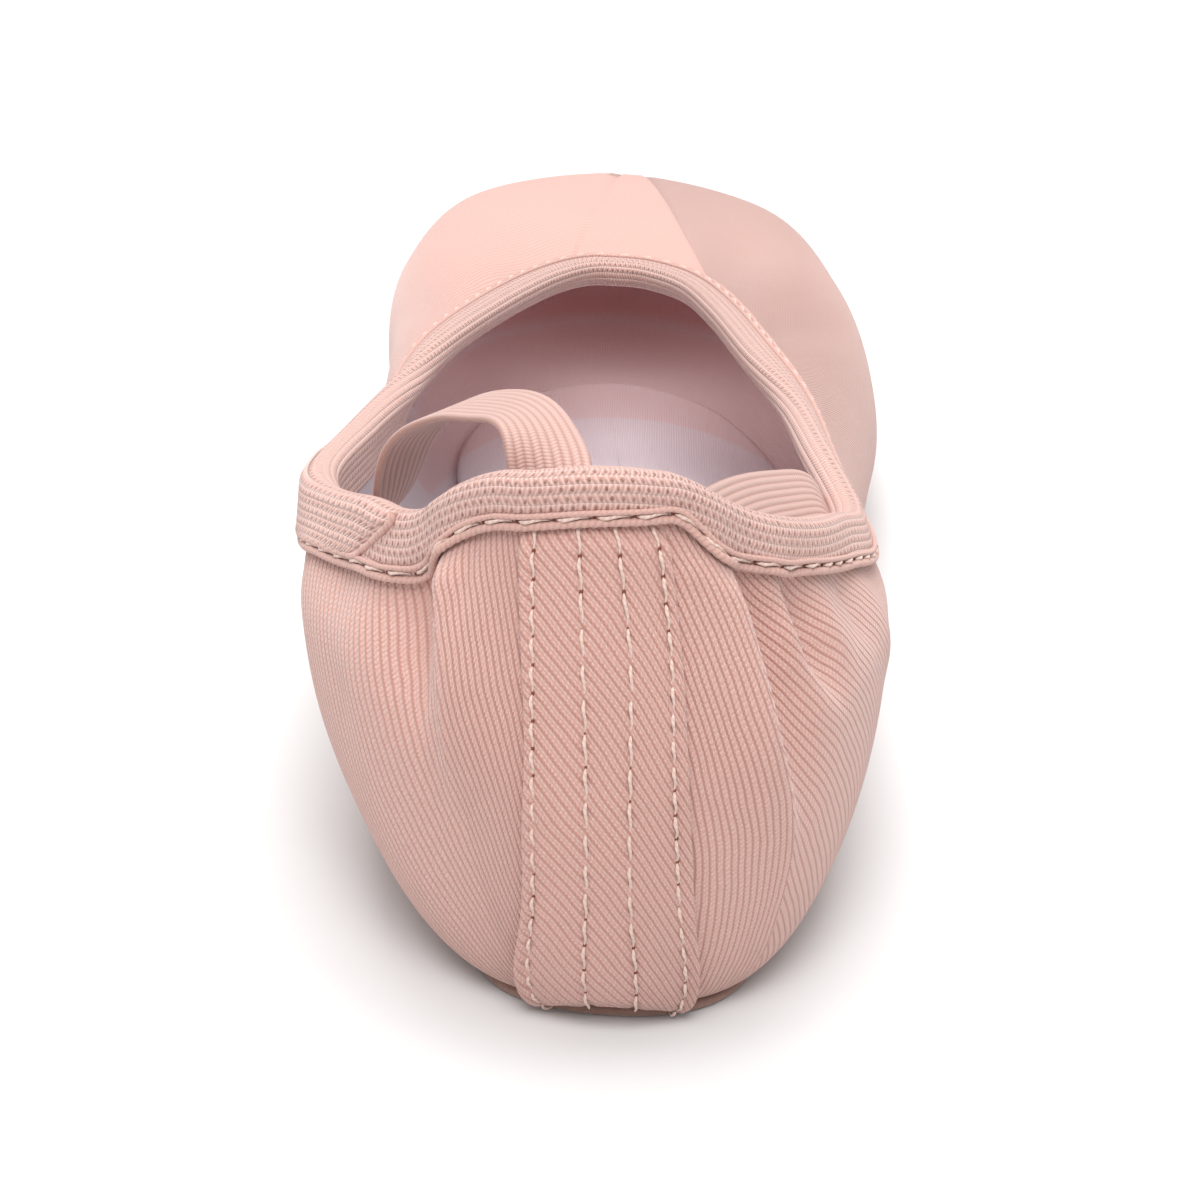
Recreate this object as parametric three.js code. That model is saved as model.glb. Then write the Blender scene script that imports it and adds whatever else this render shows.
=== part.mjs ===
import * as THREE from 'three';

// Canvas ballet shoe for the right foot, standing empty on its suede sole.
// Millimetres, +Z up, +Y towards the toe, +X towards the outer side of the foot.
// The origin is on the floor under the middle of the shoe.

// Driving sizes
const LENGTH = 240;
const BALL_WIDTH = 78;
const HEEL_HEIGHT = 60;
const WALL = 1.6;
const GAP = 0.3;
const SOLE_THICK = 1.3;
const SOLE_LIP = 0.5;
const ARCH_RISE = 1.8;
const TOE_SPRING = 1.5;
const MARGIN = 4;
const INSOLE_THICK = 1.1;
const INSOLE_INSET = 1.2;
const TAPE_HEIGHT = 4.1;
const TAPE_THICK = 1.2;
const STRIP_TOP_WIDTH = 14.4;
const STRIP_FOOT_WIDTH = 18;
const STRIP_THICK = 0.8;
const STRAP_WIDTH = 8.5;
const STRAP_THICK = 1.1;
const STRAP_SLACK = 1.1;

// The slack upper leans to the inner side as it rises.
const LEAN = 0.085;
const LEAN_START = 2;

// The sections are drawn from the back of the heel. This moves them under the origin.
const ORIGIN_X = -0.7;
const ORIGIN_Y = -119;

// Sections round the shoe, from the back by the outer side to the toe and home by the inner side.
// Each one runs from the sole's edge by the widest place to the top edge.
// x is in percent of half the ball width, y of the length, z, swell and lift of the heel height.
// Swell is how upright the wall starts, reach and lift place the handle before the top edge.
const COLUMNS = [
  'soleX', 'soleY', 'wideX', 'wideY', 'wideZ', 'topX', 'topY', 'topZ', 'swell', 'reach', 'lift',
];
const SECTIONS = [
  [1, 2.4, 0, 0, 42, 1, 3.3, 100, 20, 30, -20], // back
  [30, 3.9, 51, 3.3, 50, 49, 7, 86, 18, 40, -15],
  [44.5, 9.2, 75.6, 10, 55, 68, 14.4, 76, 9, 50, -9],
  [45, 17.5, 84.5, 18.3, 53, 75, 21, 69, 8, 50, -8],
  [45, 28, 83, 29, 40, 65, 30.4, 66.5, 12, 45, -7],
  [47, 39, 85, 39.6, 33, 59, 39, 65, 16, 45, -5], // waist, outer side
  [58, 51, 95, 51, 30, 47, 47.5, 64.5, 23, 50, 0],
  [69, 62.5, 104, 63, 28, 34, 56, 63.5, 28, 50, 2.5], // ball, outer side
  [57, 72.5, 100, 77, 30, 21, 62.3, 62.5, 33, 52, 4.5],
  [34, 79.5, 74, 92.6, 32, 9, 65.3, 61.5, 38, 50, 7],
  [-8, 82.8, -4, 100, 28, 0, 66.8, 61, 47, 50, 8], // toe
  [-51, 79.5, -80, 92.6, 32, -9, 65.3, 61.5, 38, 50, 7],
  [-72, 72.5, -103, 77, 30, -21, 62.3, 62.5, 33, 52, 4.5],
  [-75, 62.5, -97, 63, 28, -39, 56, 63.5, 28, 50, 2.5], // ball, inner side
  [-57, 51, -92, 51, 30, -54, 47.3, 64.5, 23, 50, 0],
  [-45, 39, -85, 39.6, 33, -68, 38.7, 64, 16, 45, -5], // waist, inner side
  [-44, 28, -86, 29, 40, -78, 30.4, 65.5, 12, 45, -7],
  [-44.5, 17.5, -88, 18.6, 55, -85, 21, 70.5, 8, 50, -8],
  [-43.5, 9.2, -80, 10, 57, -73, 14.4, 76.5, 9, 50, -9],
  [-29, 3.9, -53, 3.3, 50, -44, 6.7, 85.5, 18, 40, -15],
].map((row) => Object.fromEntries(row.map((value, index) => [COLUMNS[index], value])));

const STEPS_ROUND = 4 * SECTIONS.length;
const STEPS_UP = 12;
const STEP_GROWTH = 1.3;
const STRIP_STEPS_UP = 16;
const STRIP_STEPS_ACROSS = 6;
const STRIP_FOOT = 8;
const STRIP_STEP_GROWTH = 1.6;
const PLATE_STEPS_ALONG = 44;
const PLATE_STEPS_ACROSS = 4;
const PLATE_TIP = 0.08;
const STRAP_STEPS = 36;
const LOWER_ROUNDNESS = 0.55;
const UPRIGHT_SHARE = 0.5;

// Straps, from their sewn end on the side wall to the one behind the heel. An end lies on one
// section's line, at distances down from the top edge. Each row of the free loop between them
// gives the band's middle x, y, z and then the direction across it.
const STRAPS = {
  strap_inner: {
    sidePlace: 17.15,
    sideDown: [17, 11.5, 7],
    backPlace: -0.3,
    backDown: [2, 6.5, 11, 18],
    loop: [
      [-25.8, 41.2, 42.3, 0.15, 0.96, -0.2],
      [-24.3, 39, 48, 0.4, 0.85, -0.35],
      [-22.6, 36, 54, 0.33, 0.87, -0.36],
      [-17.4, 32, 58.7, -0.05, 0.96, -0.27],
      [-13.6, 26.5, 61, 0.16, 0.99, -0.05],
      [-10.4, 22, 62.3, 0.49, 0.87, 0.06],
      [-7.9, 17.8, 61.7, 0.75, 0.65, 0],
    ],
  },
  strap_outer: {
    sidePlace: 3.33,
    sideDown: [17, 11.5, 7],
    backPlace: 0.32,
    backDown: [7, 12, 19],
    loop: [
      [20.7, 52, 43.3, -0.2, 0.97, 0.1],
      [18.9, 47, 44.9, -0.2, 0.97, 0.1],
      [16.3, 40, 46.8, -0.25, 0.96, 0.1],
      [13.6, 31, 49, 0.1, 0.9, 0.1],
      [9.8, 21.4, 49.8, 0.7, 0.66, 0],
    ],
  },
};

function wrap(index, count) {
  return ((index % count) + count) % count;
}

// Smooth closed curve through one column of the table
function around(column, place) {
  const start = Math.floor(place);
  const t = place - start;
  const at = (step) => SECTIONS[wrap(start + step, SECTIONS.length)][column];
  const [before, here, next, after] = [at(-1), at(0), at(1), at(2)];
  const slope = next - before;
  const bend = 2 * before - 5 * here + 4 * next - after;
  const twist = 3 * here - before - 3 * next + after;
  return (2 * here + slope * t + bend * t ** 2 + twist * t ** 3) / 2;
}

function ramp(from, to, value) {
  return THREE.MathUtils.smoothstep(value, from, to);
}

// Height of the sole's underside: flat at the heel and the ball, arched between, sprung at the toe
function soleHeight(y) {
  const share = y / LENGTH;
  const arch = ramp(0.26, 0.39, share) * (1 - ramp(0.41, 0.54, share));
  const spring = Math.max(0, (share - 0.72) / 0.11);
  return ARCH_RISE * arch + TOE_SPRING * spring ** 2;
}

function aboveSole(y) {
  return soleHeight(y) + SOLE_THICK + GAP;
}

function sizes(place) {
  const get = (column) => around(column, place) / 100;
  const across = BALL_WIDTH / 2;
  const sole = new THREE.Vector3(get('soleX') * across, get('soleY') * LENGTH, 0);
  sole.z = aboveSole(sole.y);
  const wide = new THREE.Vector3(get('wideX') * across, get('wideY') * LENGTH, get('wideZ') * HEEL_HEIGHT);
  const top = new THREE.Vector3(get('topX') * across, get('topY') * LENGTH, get('topZ') * HEEL_HEIGHT);
  return { sole, wide, top, swell: get('swell') * HEEL_HEIGHT, reach: get('reach'), lift: get('lift') * HEEL_HEIGHT };
}

// One section's line up the outside of the upper, with the margin turned in under the foot
function sectionCurve(place) {
  const { sole, wide, top, swell, reach, lift } = sizes(place);
  const outward = wide.clone().sub(sole).setZ(0);
  const inner = sole.clone().addScaledVector(outward.clone().normalize(), -MARGIN);
  inner.z = aboveSole(inner.y);
  const lowHandle = sole.clone().addScaledVector(outward, LOWER_ROUNDNESS);
  const wideHandle = wide.clone().setZ(THREE.MathUtils.lerp(wide.z, sole.z, UPRIGHT_SHARE));
  const swellHandle = wide.clone().setZ(wide.z + swell);
  const topHandle = top.clone().lerp(wide, reach).setZ(top.z + lift);
  const curve = new THREE.CurvePath();
  curve.add(new THREE.LineCurve3(inner, sole));
  curve.add(new THREE.CubicBezierCurve3(sole, lowHandle, wideHandle, wide));
  curve.add(new THREE.CubicBezierCurve3(wide, swellHandle, topHandle, top));
  return curve;
}

function lean(point) {
  point.x += LEAN_START - LEAN * point.z;
  return point;
}

// The outside of the upper: place counts sections, up runs from the turned-in edge to the top edge
function upperPoint(place, up) {
  return lean(sectionCurve(place).getPointAt(THREE.MathUtils.clamp(up, 0, 1)));
}

function upperNormal(place, up) {
  const step = 0.01;
  const low = Math.max(0, up - step);
  const high = Math.min(1, up + step);
  const rise = upperPoint(place, high).sub(upperPoint(place, low));
  const run = upperPoint(place + step, up).sub(upperPoint(place - step, up));
  return run.cross(rise).normalize();
}

function offsetPoint(place, up, distance) {
  return upperPoint(place, up).addScaledVector(upperNormal(place, up), distance);
}

// Turns a list of rings of points into one closed solid. Rings close on each other as a loop,
// or the two ends are closed across, each point of a ring's first half to its mate in the second.
function ringSolid(rings, { loop = false } = {}) {
  const count = rings[0].length;
  const points = rings.flat();
  const positions = points.flatMap((point) => point.toArray());
  const faces = [];
  const last = loop ? rings.length : rings.length - 1;
  for (let ring = 0; ring < last; ring += 1) {
    const next = (ring + 1) % rings.length;
    for (let index = 0; index < count; index += 1) {
      const beside = (index + 1) % count;
      const [a, b] = [ring * count + index, ring * count + beside];
      const [c, d] = [next * count + beside, next * count + index];
      const direct = points[a].distanceTo(points[c]) < points[b].distanceTo(points[d]);
      faces.push(...(direct ? [a, c, b, a, d, c] : [a, d, b, b, d, c]));
    }
  }
  if (!loop) {
    const end = (rings.length - 1) * count;
    for (let index = 0; index < count / 2 - 1; index += 1) {
      const [a, b, c, d] = [index, index + 1, count - 2 - index, count - 1 - index];
      faces.push(a, b, c, a, c, d);
      faces.push(end + a, end + c, end + b, end + a, end + d, end + c);
    }
  }
  const geometry = new THREE.BufferGeometry();
  geometry.setAttribute('position', new THREE.Float32BufferAttribute(positions, 3));
  geometry.setIndex(faces);
  geometry.computeVertexNormals();
  return geometry;
}

function steps(count) {
  return Array.from({ length: count + 1 }, (_, index) => index / count);
}

function roundPlaces() {
  return steps(STEPS_ROUND).slice(0, -1).map((share) => share * SECTIONS.length);
}

// The heights of one section's points: close together at the sole's edge, and level with the tape's
function upperHeights(place) {
  const length = sectionCurve(place).getLength();
  const foot = MARGIN / length;
  const tape = 1 - TAPE_HEIGHT / length;
  const wall = steps(STEPS_UP).map((share) => THREE.MathUtils.lerp(foot, tape, share ** STEP_GROWTH));
  return [0, ...wall, (1 + tape) / 2, 1];
}

// The upper: each section is a closed ring of points, up the outside and down the inside
function upperGeometry() {
  const rings = roundPlaces().map((place) => {
    const heights = upperHeights(place);
    const outside = heights.map((up) => offsetPoint(place, up, 0));
    const inside = heights.reverse().map((up) => offsetPoint(place, up, -WALL));
    return [...outside, ...inside];
  });
  return ringSolid(rings, { loop: true });
}

// A point at a distance down from the top edge and out from the upper's outside
function edgePoint(place, down, out) {
  const length = sectionCurve(place).getLength();
  if (down >= 0) return offsetPoint(place, 1 - down / length, out);
  const rise = upperPoint(place, 1).sub(upperPoint(place, 0.99)).normalize();
  return offsetPoint(place, 1, out).addScaledVector(rise, -down);
}

// The knitted tape, folded over the top edge all the way round
function bindingGeometry() {
  const face = GAP + TAPE_THICK;
  const back = WALL + GAP;
  const middle = TAPE_HEIGHT / 2;
  const crest = GAP + TAPE_THICK;
  const profile = [
    [TAPE_HEIGHT, GAP], [TAPE_HEIGHT, face], [middle, face], [0, face - 0.1], [-crest * 0.8, 0.2],
    [-crest, -WALL / 2], [-crest * 0.8, -WALL - 0.2], [0, 0.1 - back - TAPE_THICK],
    [middle, -back - TAPE_THICK], [TAPE_HEIGHT, -back - TAPE_THICK], [TAPE_HEIGHT, -back],
    [middle, -back], [-GAP, -back], [-GAP, GAP], [middle, GAP],
  ];
  const rings = roundPlaces().map((place) => profile.map(([down, out]) => edgePoint(place, down, out)));
  return ringSolid(rings, { loop: true });
}

// The strip over the back seam, between two larger forms of the upper
function heelStripGeometry() {
  const rings = steps(STRIP_STEPS_UP).map((share) => {
    const rise = share ** STRIP_STEP_GROWTH;
    const width = THREE.MathUtils.lerp(STRIP_FOOT_WIDTH, STRIP_TOP_WIDTH, rise);
    const point = (across, out) => {
      const step = 0.02;
      const height = (place) => {
        const length = sectionCurve(place).getLength();
        return THREE.MathUtils.lerp(STRIP_FOOT / length, 1 - (TAPE_HEIGHT + 1.5 * GAP) / length, rise);
      };
      const run = upperPoint(step, height(step)).distanceTo(upperPoint(-step, height(-step)));
      const place = (across - 0.5) * width * 2 * step / run;
      return offsetPoint(place, height(place), out);
    };
    const face = steps(STRIP_STEPS_ACROSS).reverse().map((across) => point(across, GAP + STRIP_THICK));
    const back = steps(STRIP_STEPS_ACROSS).map((across) => point(across, GAP));
    return [...face, ...back];
  });
  return ringSolid(rings);
}

// A point on the sole's outline, moved outwards by a lip
function outlinePoint(place, lip) {
  const step = 0.01;
  const point = sizes(place).sole;
  const run = sizes(place + step).sole.sub(sizes(place - step).sole).setZ(0).normalize();
  return lean(point.clone().set(point.x + run.y * lip, point.y - run.x * lip, 0));
}

// A thin plate over the sole's outline, which follows the arch and the toe spring
function plateGeometry(lip, rise, thick) {
  const half = SECTIONS.length / 2;
  const rings = steps(PLATE_STEPS_ALONG).map((along) => {
    const place = THREE.MathUtils.lerp(PLATE_TIP, half - PLATE_TIP, along);
    const outer = outlinePoint(place, lip);
    const inner = outlinePoint(-place, lip);
    const row = steps(PLATE_STEPS_ACROSS).map((across) => {
      const point = inner.clone().lerp(outer, across);
      return point.setZ(soleHeight(point.y) + rise);
    });
    const raised = row.map((point) => point.clone().setZ(point.z + thick)).reverse();
    return [...row, ...raised];
  });
  return ringSolid(rings);
}

// A strap's row where it lies on the lining, or on the tape near the top edge
function sewnRow(place, down) {
  const onTape = down < TAPE_HEIGHT + 3 * STRAP_THICK ? TAPE_THICK + GAP : 0;
  const middle = edgePoint(place, down, -(WALL + GAP + onTape + STRAP_THICK / 2 + STRAP_SLACK));
  const beside = edgePoint(place + 0.02, down, 0).sub(edgePoint(place - 0.02, down, 0)).normalize();
  return [...middle.toArray(), ...beside.toArray()];
}

// An elastic strap: a thin band along its rows, sewn down at both ends
function strapGeometry({ sidePlace, sideDown, backPlace, backDown, loop }) {
  const side = sideDown.map((down) => sewnRow(sidePlace, down));
  const back = backDown.map((down) => sewnRow(backPlace, down));
  const first = new THREE.Vector3(...loop[0].slice(3));
  side.filter((row) => first.dot(new THREE.Vector3(...row.slice(3))) < 0).forEach((row) => {
    for (let index = 3; index < 6; index += 1) row[index] *= -1;
  });
  const rows = [...side, ...loop, ...back];
  const middles = new THREE.CatmullRomCurve3(rows.map(([x, y, z]) => new THREE.Vector3(x, y, z)));
  const widths = new THREE.CatmullRomCurve3(rows.map((row) => new THREE.Vector3(...row.slice(3))));
  const rings = steps(STRAP_STEPS).map((along) => {
    const middle = middles.getPoint(along);
    const tangent = middles.getTangent(along);
    const width = widths.getPoint(along);
    width.addScaledVector(tangent, -width.dot(tangent)).setLength(STRAP_WIDTH / 2);
    const thick = tangent.clone().cross(width).setLength(STRAP_THICK / 2);
    const corner = (across, face) => middle.clone().addScaledVector(width, across).addScaledVector(thick, face);
    return [corner(1, 1), corner(1, -1), corner(-1, -1), corner(-1, 1)];
  });
  return ringSolid(rings);
}

const group = new THREE.Group();
group.position.set(ORIGIN_X, ORIGIN_Y, 0);

function addPart(name, geometry, color, roughness) {
  const material = new THREE.MeshStandardMaterial({ color, roughness, metalness: 0 });
  const mesh = new THREE.Mesh(geometry, material);
  mesh.name = name;
  group.add(mesh);
}

const UNDER_INSOLE = SOLE_THICK + GAP + WALL + GAP;
addPart('upper', upperGeometry(), 0xdfada3, 0.85);
addPart('sole', plateGeometry(SOLE_LIP, 0, SOLE_THICK), 0x8a6055, 0.95);
addPart('insole', plateGeometry(-INSOLE_INSET, UNDER_INSOLE, INSOLE_THICK), 0xbdaaaf, 0.9);
addPart('heel_strip', heelStripGeometry(), 0xd3a9a0, 0.85);
addPart('binding', bindingGeometry(), 0xe2b5aa, 0.8);
for (const [name, strap] of Object.entries(STRAPS)) {
  addPart(name, strapGeometry(strap), 0xd8aca7, 0.6);
}

export default group;
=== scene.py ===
"""Looks of a canvas ballet shoe for the right foot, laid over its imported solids.

Shapes are worked out in millimetres in the last's own frame, whose origin is on the floor
under the back of the heel, and come into the row's frame in metres when a mesh is made.
"""

import math

import bpy
import numpy as np
from mathutils import Euler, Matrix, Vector


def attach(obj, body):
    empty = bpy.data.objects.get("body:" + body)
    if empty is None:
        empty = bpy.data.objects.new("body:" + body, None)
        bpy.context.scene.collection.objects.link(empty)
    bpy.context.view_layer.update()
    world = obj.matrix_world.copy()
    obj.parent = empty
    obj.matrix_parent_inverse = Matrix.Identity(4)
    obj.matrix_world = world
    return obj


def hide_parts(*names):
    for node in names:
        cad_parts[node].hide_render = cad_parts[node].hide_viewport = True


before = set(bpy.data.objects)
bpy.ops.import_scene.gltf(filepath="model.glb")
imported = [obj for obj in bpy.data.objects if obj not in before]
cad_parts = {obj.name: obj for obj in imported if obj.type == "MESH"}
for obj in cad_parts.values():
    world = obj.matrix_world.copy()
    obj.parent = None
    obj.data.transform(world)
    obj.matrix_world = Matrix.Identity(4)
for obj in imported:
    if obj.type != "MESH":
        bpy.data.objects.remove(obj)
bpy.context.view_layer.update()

bl_info = {
    "name": "Canvas Ballet Shoe",
    "version": (1, 0, 0),
    "blender": (4, 5, 0),
    "location": "3D View > Sidebar > Ballet Shoe",
    "description": "Makes the cloth, tape, elastics, stitches and suede of a canvas ballet shoe",
    "category": "Object",
}

MM = 0.001
ORIGIN = np.array([-0.7, -119.0, 0.0])  # from the last's frame to the row's, in millimetres
BODY = "root"

# The last's sections round the shoe, from the back of the heel by the outer side to the toe and home.
# x is in percent of half the ball width, y of the length, z, swell and lift of the heel height.
SECTION_COLUMNS = (
    "sole_x", "sole_y", "wide_x", "wide_y", "wide_z", "top_x", "top_y", "top_z", "swell", "reach", "lift",
)
SECTIONS = np.array([
    (1, 2.4, 0, 0, 42, 1, 3.3, 100, 20, 30, -20),
    (30, 3.9, 51, 3.3, 50, 49, 7, 86, 18, 40, -15),
    (44.5, 9.2, 75.6, 10, 55, 68, 14.4, 76, 9, 50, -9),
    (45, 17.5, 84.5, 18.3, 53, 75, 21, 69, 8, 50, -8),
    (45, 28, 83, 29, 40, 69, 30.4, 67.5, 12, 45, -7),
    (47, 39, 85, 39.6, 33, 63, 39, 66, 16, 45, -5),
    (58, 51, 95, 51, 30, 50, 47.5, 65.5, 23, 50, 0),
    (69, 62.5, 104, 63, 28, 39, 56, 64.5, 28, 50, 2.5),
    (57, 72.5, 100, 77, 30, 27, 62.5, 63.7, 33, 52, 4.5),
    (34, 79.5, 74, 92.6, 32, 12, 66, 62.7, 38, 50, 7),
    (-8, 82.8, -4, 100, 28, -1, 67.2, 62, 47, 50, 8),
    (-51, 79.5, -80, 92.6, 32, -14, 66.2, 62.7, 38, 50, 7),
    (-72, 72.5, -103, 77, 30, -28, 62.5, 63.7, 33, 52, 4.5),
    (-75, 62.5, -97, 63, 28, -44, 56, 64.7, 28, 50, 2.5),
    (-57, 51, -92, 51, 30, -60, 47.3, 66, 23, 50, 0),
    (-45, 39, -85, 39.6, 33, -73.5, 38.7, 65.5, 16, 45, -5),
    (-44, 28, -86, 29, 40, -82, 30.4, 67, 12, 45, -7),
    (-44.5, 17.5, -88, 18.6, 55, -86.5, 21, 71, 8, 50, -8),
    (-43.5, 9.2, -80, 10, 57, -73, 14.4, 76.5, 9, 50, -9),
    (-29, 3.9, -53, 3.3, 50, -44, 6.7, 85.5, 18, 40, -15),
], float)
COUNT = len(SECTIONS)
TOE = COUNT / 2

# How far the top edge stands above the plain section, by section number (negative on the inner side)
CREST_RISE = (
    (-4, 0), (-3, 0), (-1.9, 0.2), (-1.5, 0.8), (-1.2, 0.3), (-1.0, 0.6), (-0.88, 1.5), (-0.78, 2.0),
    (-0.66, 2.2), (-0.5, 1.8), (-0.32, 0.7), (0, 0.2), (0.3, 1.1), (0.42, 1.6), (0.54, 1.5), (0.66, 1.1),
    (0.82, 0.9), (0.96, 1.0), (1.26, 1.1), (1.72, 1.0), (2.3, 0.6), (3, 0), (4, 0),
)
# How far the tape comes down outside, from the risen top edge
TAPE_DROP = (
    (-10, 4.4), (-7, 4.5), (-5, 4.8), (-4, 5.3), (-3, 6.8), (-2.2, 7.5), (-1.8, 7.3), (-1.44, 6.8),
    (-1.08, 6.3), (-0.92, 6.3), (-0.82, 5.5), (-0.72, 4.8), (-0.6, 4.4), (-0.34, 4.3), (-0.04, 4.3),
    (0.1, 4.2), (0.24, 4.0), (0.34, 3.6), (0.42, 3.4), (0.48, 4.0), (0.54, 4.9), (0.6, 5.5), (0.7, 5.3),
    (0.86, 4.8), (1.02, 4.8), (1.14, 4.6), (1.46, 4.8), (1.88, 5.4), (2.3, 5.6), (2.9, 5.4), (4, 5.0),
    (5, 4.7), (7, 4.5), (10, 4.4),
)

# Folds of the slack cloth. Each runs along points (section number, millimetres below the top edge).
# Height is how far it stands proud, before and after are its widths on the two sides of its line.
FOLDS = (
    # height, before, after, points
    # left edge of the fold beside the strip
    (2.6, 1.2, 4.8, ((-0.79, 1), (-0.77, 7), (-0.73, 11.4), (-0.69, 17), (-0.67, 24), (-0.66, 34))),
    (-2.5, 5.5, 1.3, ((-0.94, 1), (-0.93, 7), (-0.90, 12), (-0.86, 18), (-0.84, 26))),
    (-0.5, 0.8, 0.9, ((-0.62, 4), (-0.63, 9), (-0.64, 14))),
    (2.4, 4.4, 1.3, ((0.57, 1), (0.60, 4.7), (0.65, 6), (0.71, 10), (0.75, 13), (0.81, 17), (0.86, 21.5),
                     (0.94, 27), (1.02, 33), (1.06, 42))),  # ridge at the outer side
    (-2.5, 1.2, 4.8, ((0.69, 2), (0.74, 6), (0.80, 9), (0.88, 13), (0.96, 18), (1.04, 24), (1.14, 32))),
    (1.5, 3.4, 1.3, ((0.92, 3), (0.95, 5), (1.04, 8), (1.14, 12), (1.31, 16))),  # second pleat, outer side
    (-2.2, 1.3, 3.6, ((1.05, 4), (1.08, 6), (1.14, 8.5), (1.24, 11.5), (1.42, 15), (1.64, 20))),
    (0.6, 2.2, 2.0, ((1.36, 5), (1.5, 10), (1.8, 16))),
    (-0.6, 1.5, 2.4, ((1.66, 5), (1.9, 11), (2.3, 17))),
    (0.4, 2.4, 2.4, ((2.1, 6), (2.5, 14), (3.1, 22))),
    (-0.5, 3.0, 3.0, ((-1.65, 7), (-1.6, 20), (-1.5, 34))),
    (0.4, 3.2, 3.2, ((-2.2, 8), (-2.1, 24), (-1.9, 40))),
    (-0.7, 4.0, 4.0, ((-4.6, 4), (-4.7, 14), (-4.9, 25))),  # waist, inner side
    (-0.6, 4.0, 4.0, ((4.6, 4), (4.8, 14), (5.0, 25))),  # waist, outer side
    (-0.8, 3.5, 4.5, ((7.9, 6), (8.2, 18), (8.9, 30))),  # fore part, outer side
    (0.6, 4.0, 4.0, ((7.2, 6), (7.6, 20), (8.3, 34))),
    (-0.8, 4.0, 4.5, ((6.5, 6), (6.9, 20), (7.5, 36))),
    (-0.5, 3.5, 4.5, ((-8.1, 6), (-8.5, 18), (-9.0, 28))),  # fore part, inner side
    (0.5, 4.0, 4.0, ((-7.4, 6), (-7.7, 18), (-8.2, 32))),
    (-0.6, 4.0, 4.0, ((-6.6, 6), (-6.9, 20), (-7.4, 34))),
)

# Where the strip over the back seam and its stitches run: section numbers at each depth below the top edge
STRIP_ACROSS = (0, 0.095, 0.385, 0.66, 0.915, 1)
STRIP = (
    # down, left edge, four stitch lines, right edge
    (3, -0.37, -0.28, -0.06, 0.12, 0.30, 0.36),
    (10, -0.355, -0.28, -0.05, 0.15, 0.335, 0.395),
    (16, -0.34, -0.28, -0.045, 0.175, 0.36, 0.42),
    (25, -0.325, -0.28, -0.04, 0.17, 0.36, 0.435),
    (33, -0.34, -0.285, -0.045, 0.155, 0.36, 0.44),
    (44, -0.40, -0.33, -0.07, 0.145, 0.385, 0.475),
    (54, -0.585, -0.46, -0.12, 0.175, 0.475, 0.595),
    (62, -0.66, -0.52, -0.14, 0.19, 0.53, 0.67),
)

# The straps, from their sewn end on the side wall to the one behind the heel.
STRAPS = {
    "strap_inner": {
        "side_place": 17.15, "side_down": (17, 11.5, 7),
        "back_place": -0.3, "back_down": (2, 6.5, 11, 18),
        "loop": (
            (-25.8, 41.2, 42.3, 0.15, 0.96, -0.2), (-24.3, 39, 48, 0.4, 0.85, -0.35),
            (-22.6, 36, 54, 0.33, 0.87, -0.36), (-17.4, 32, 58.7, -0.05, 0.96, -0.27),
            (-13.6, 26.5, 61, 0.16, 0.99, -0.05), (-10.4, 22, 62.3, 0.49, 0.87, 0.06),
            (-7.9, 17.8, 61.7, 0.75, 0.65, 0),
        ),
    },
    "strap_outer": {
        "side_place": 3.33, "side_down": (17, 11.5, 7),
        "back_place": 0.32, "back_down": (7, 12, 19),
        "loop": (
            (24.8, 54, 41.2, -0.2, 0.92, 0.3), (20.3, 47.5, 43.8, -0.2, 0.88, 0.4),
            (15.2, 38.5, 46.2, -0.15, 0.88, 0.4), (10.6, 28.5, 47.6, 0.2, 0.9, 0.28),
            (7.0, 19.5, 48.6, 0.8, 0.55, 0.1),
        ),
    },
}


def length_setting(name, description, metres):
    return bpy.props.FloatProperty(name=name, description=description, default=metres, unit="LENGTH")


def colour_setting(name, description, linear):
    return bpy.props.FloatVectorProperty(
        name=name, description=description, default=linear, subtype="COLOR")


def angle_setting(name, description, degrees):
    return bpy.props.FloatProperty(
        name=name, description=description, default=math.radians(degrees), subtype="ANGLE")


def number_setting(name, description, value):
    return bpy.props.FloatProperty(name=name, description=description, default=value)


class ShoeSizes(bpy.types.PropertyGroup):
    """Sizes of the shoe, in metres, as its solids were made."""

    length: length_setting("Length", "Back of the heel to the toe", 0.24)
    ball_width: length_setting("Ball Width", "Widest place of the upper", 0.078)
    heel_height: length_setting("Heel Height", "Floor to the top edge behind the heel", 0.06)
    wall: length_setting("Wall", "Canvas and lining together", 0.0016)
    rib: length_setting("Twill Rib", "Distance between the ribs of the canvas", 0.00086)
    stitch: length_setting("Stitch", "Length of one stitch", 0.0031)
    strap_width: length_setting("Strap Width", "Width of the elastics", 0.0085)


class ShoeColours(bpy.types.PropertyGroup):
    """Colours of the shoe's cloths, as linear red, green and blue."""

    canvas: colour_setting("Canvas", "Twill canvas of the upper", (0.575, 0.345, 0.30))
    tape: colour_setting("Tape", "Knitted tape round the top edge", (0.63, 0.40, 0.35))
    elastic: colour_setting("Elastic", "Ribbed straps", (0.51, 0.315, 0.275))
    thread: colour_setting("Thread", "Stitches", (0.74, 0.56, 0.49))
    lining: colour_setting("Lining", "Cotton lining and insole", (0.66, 0.595, 0.63))
    suede: colour_setting("Suede", "Suede sole", (0.29, 0.175, 0.14))


def signed_place(place):
    """The place counted from the back of the heel, negative on the inner side."""
    return (np.asarray(place, float) + TOE) % COUNT - TOE


def interpolate(table, place):
    """Smooth value of a small table (section number, value) at places, the table going round the shoe."""
    rows = np.array(table, float)
    return smooth_line(rows[:, 0], rows[:, 1], signed_place(place))


def rounded(values, count):
    """Values of a closed row with their corners rounded over a count of neighbours."""
    spread = np.hanning(count)
    return np.convolve(np.pad(values, count // 2, "wrap"), spread / spread.sum(), "valid")


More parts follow.
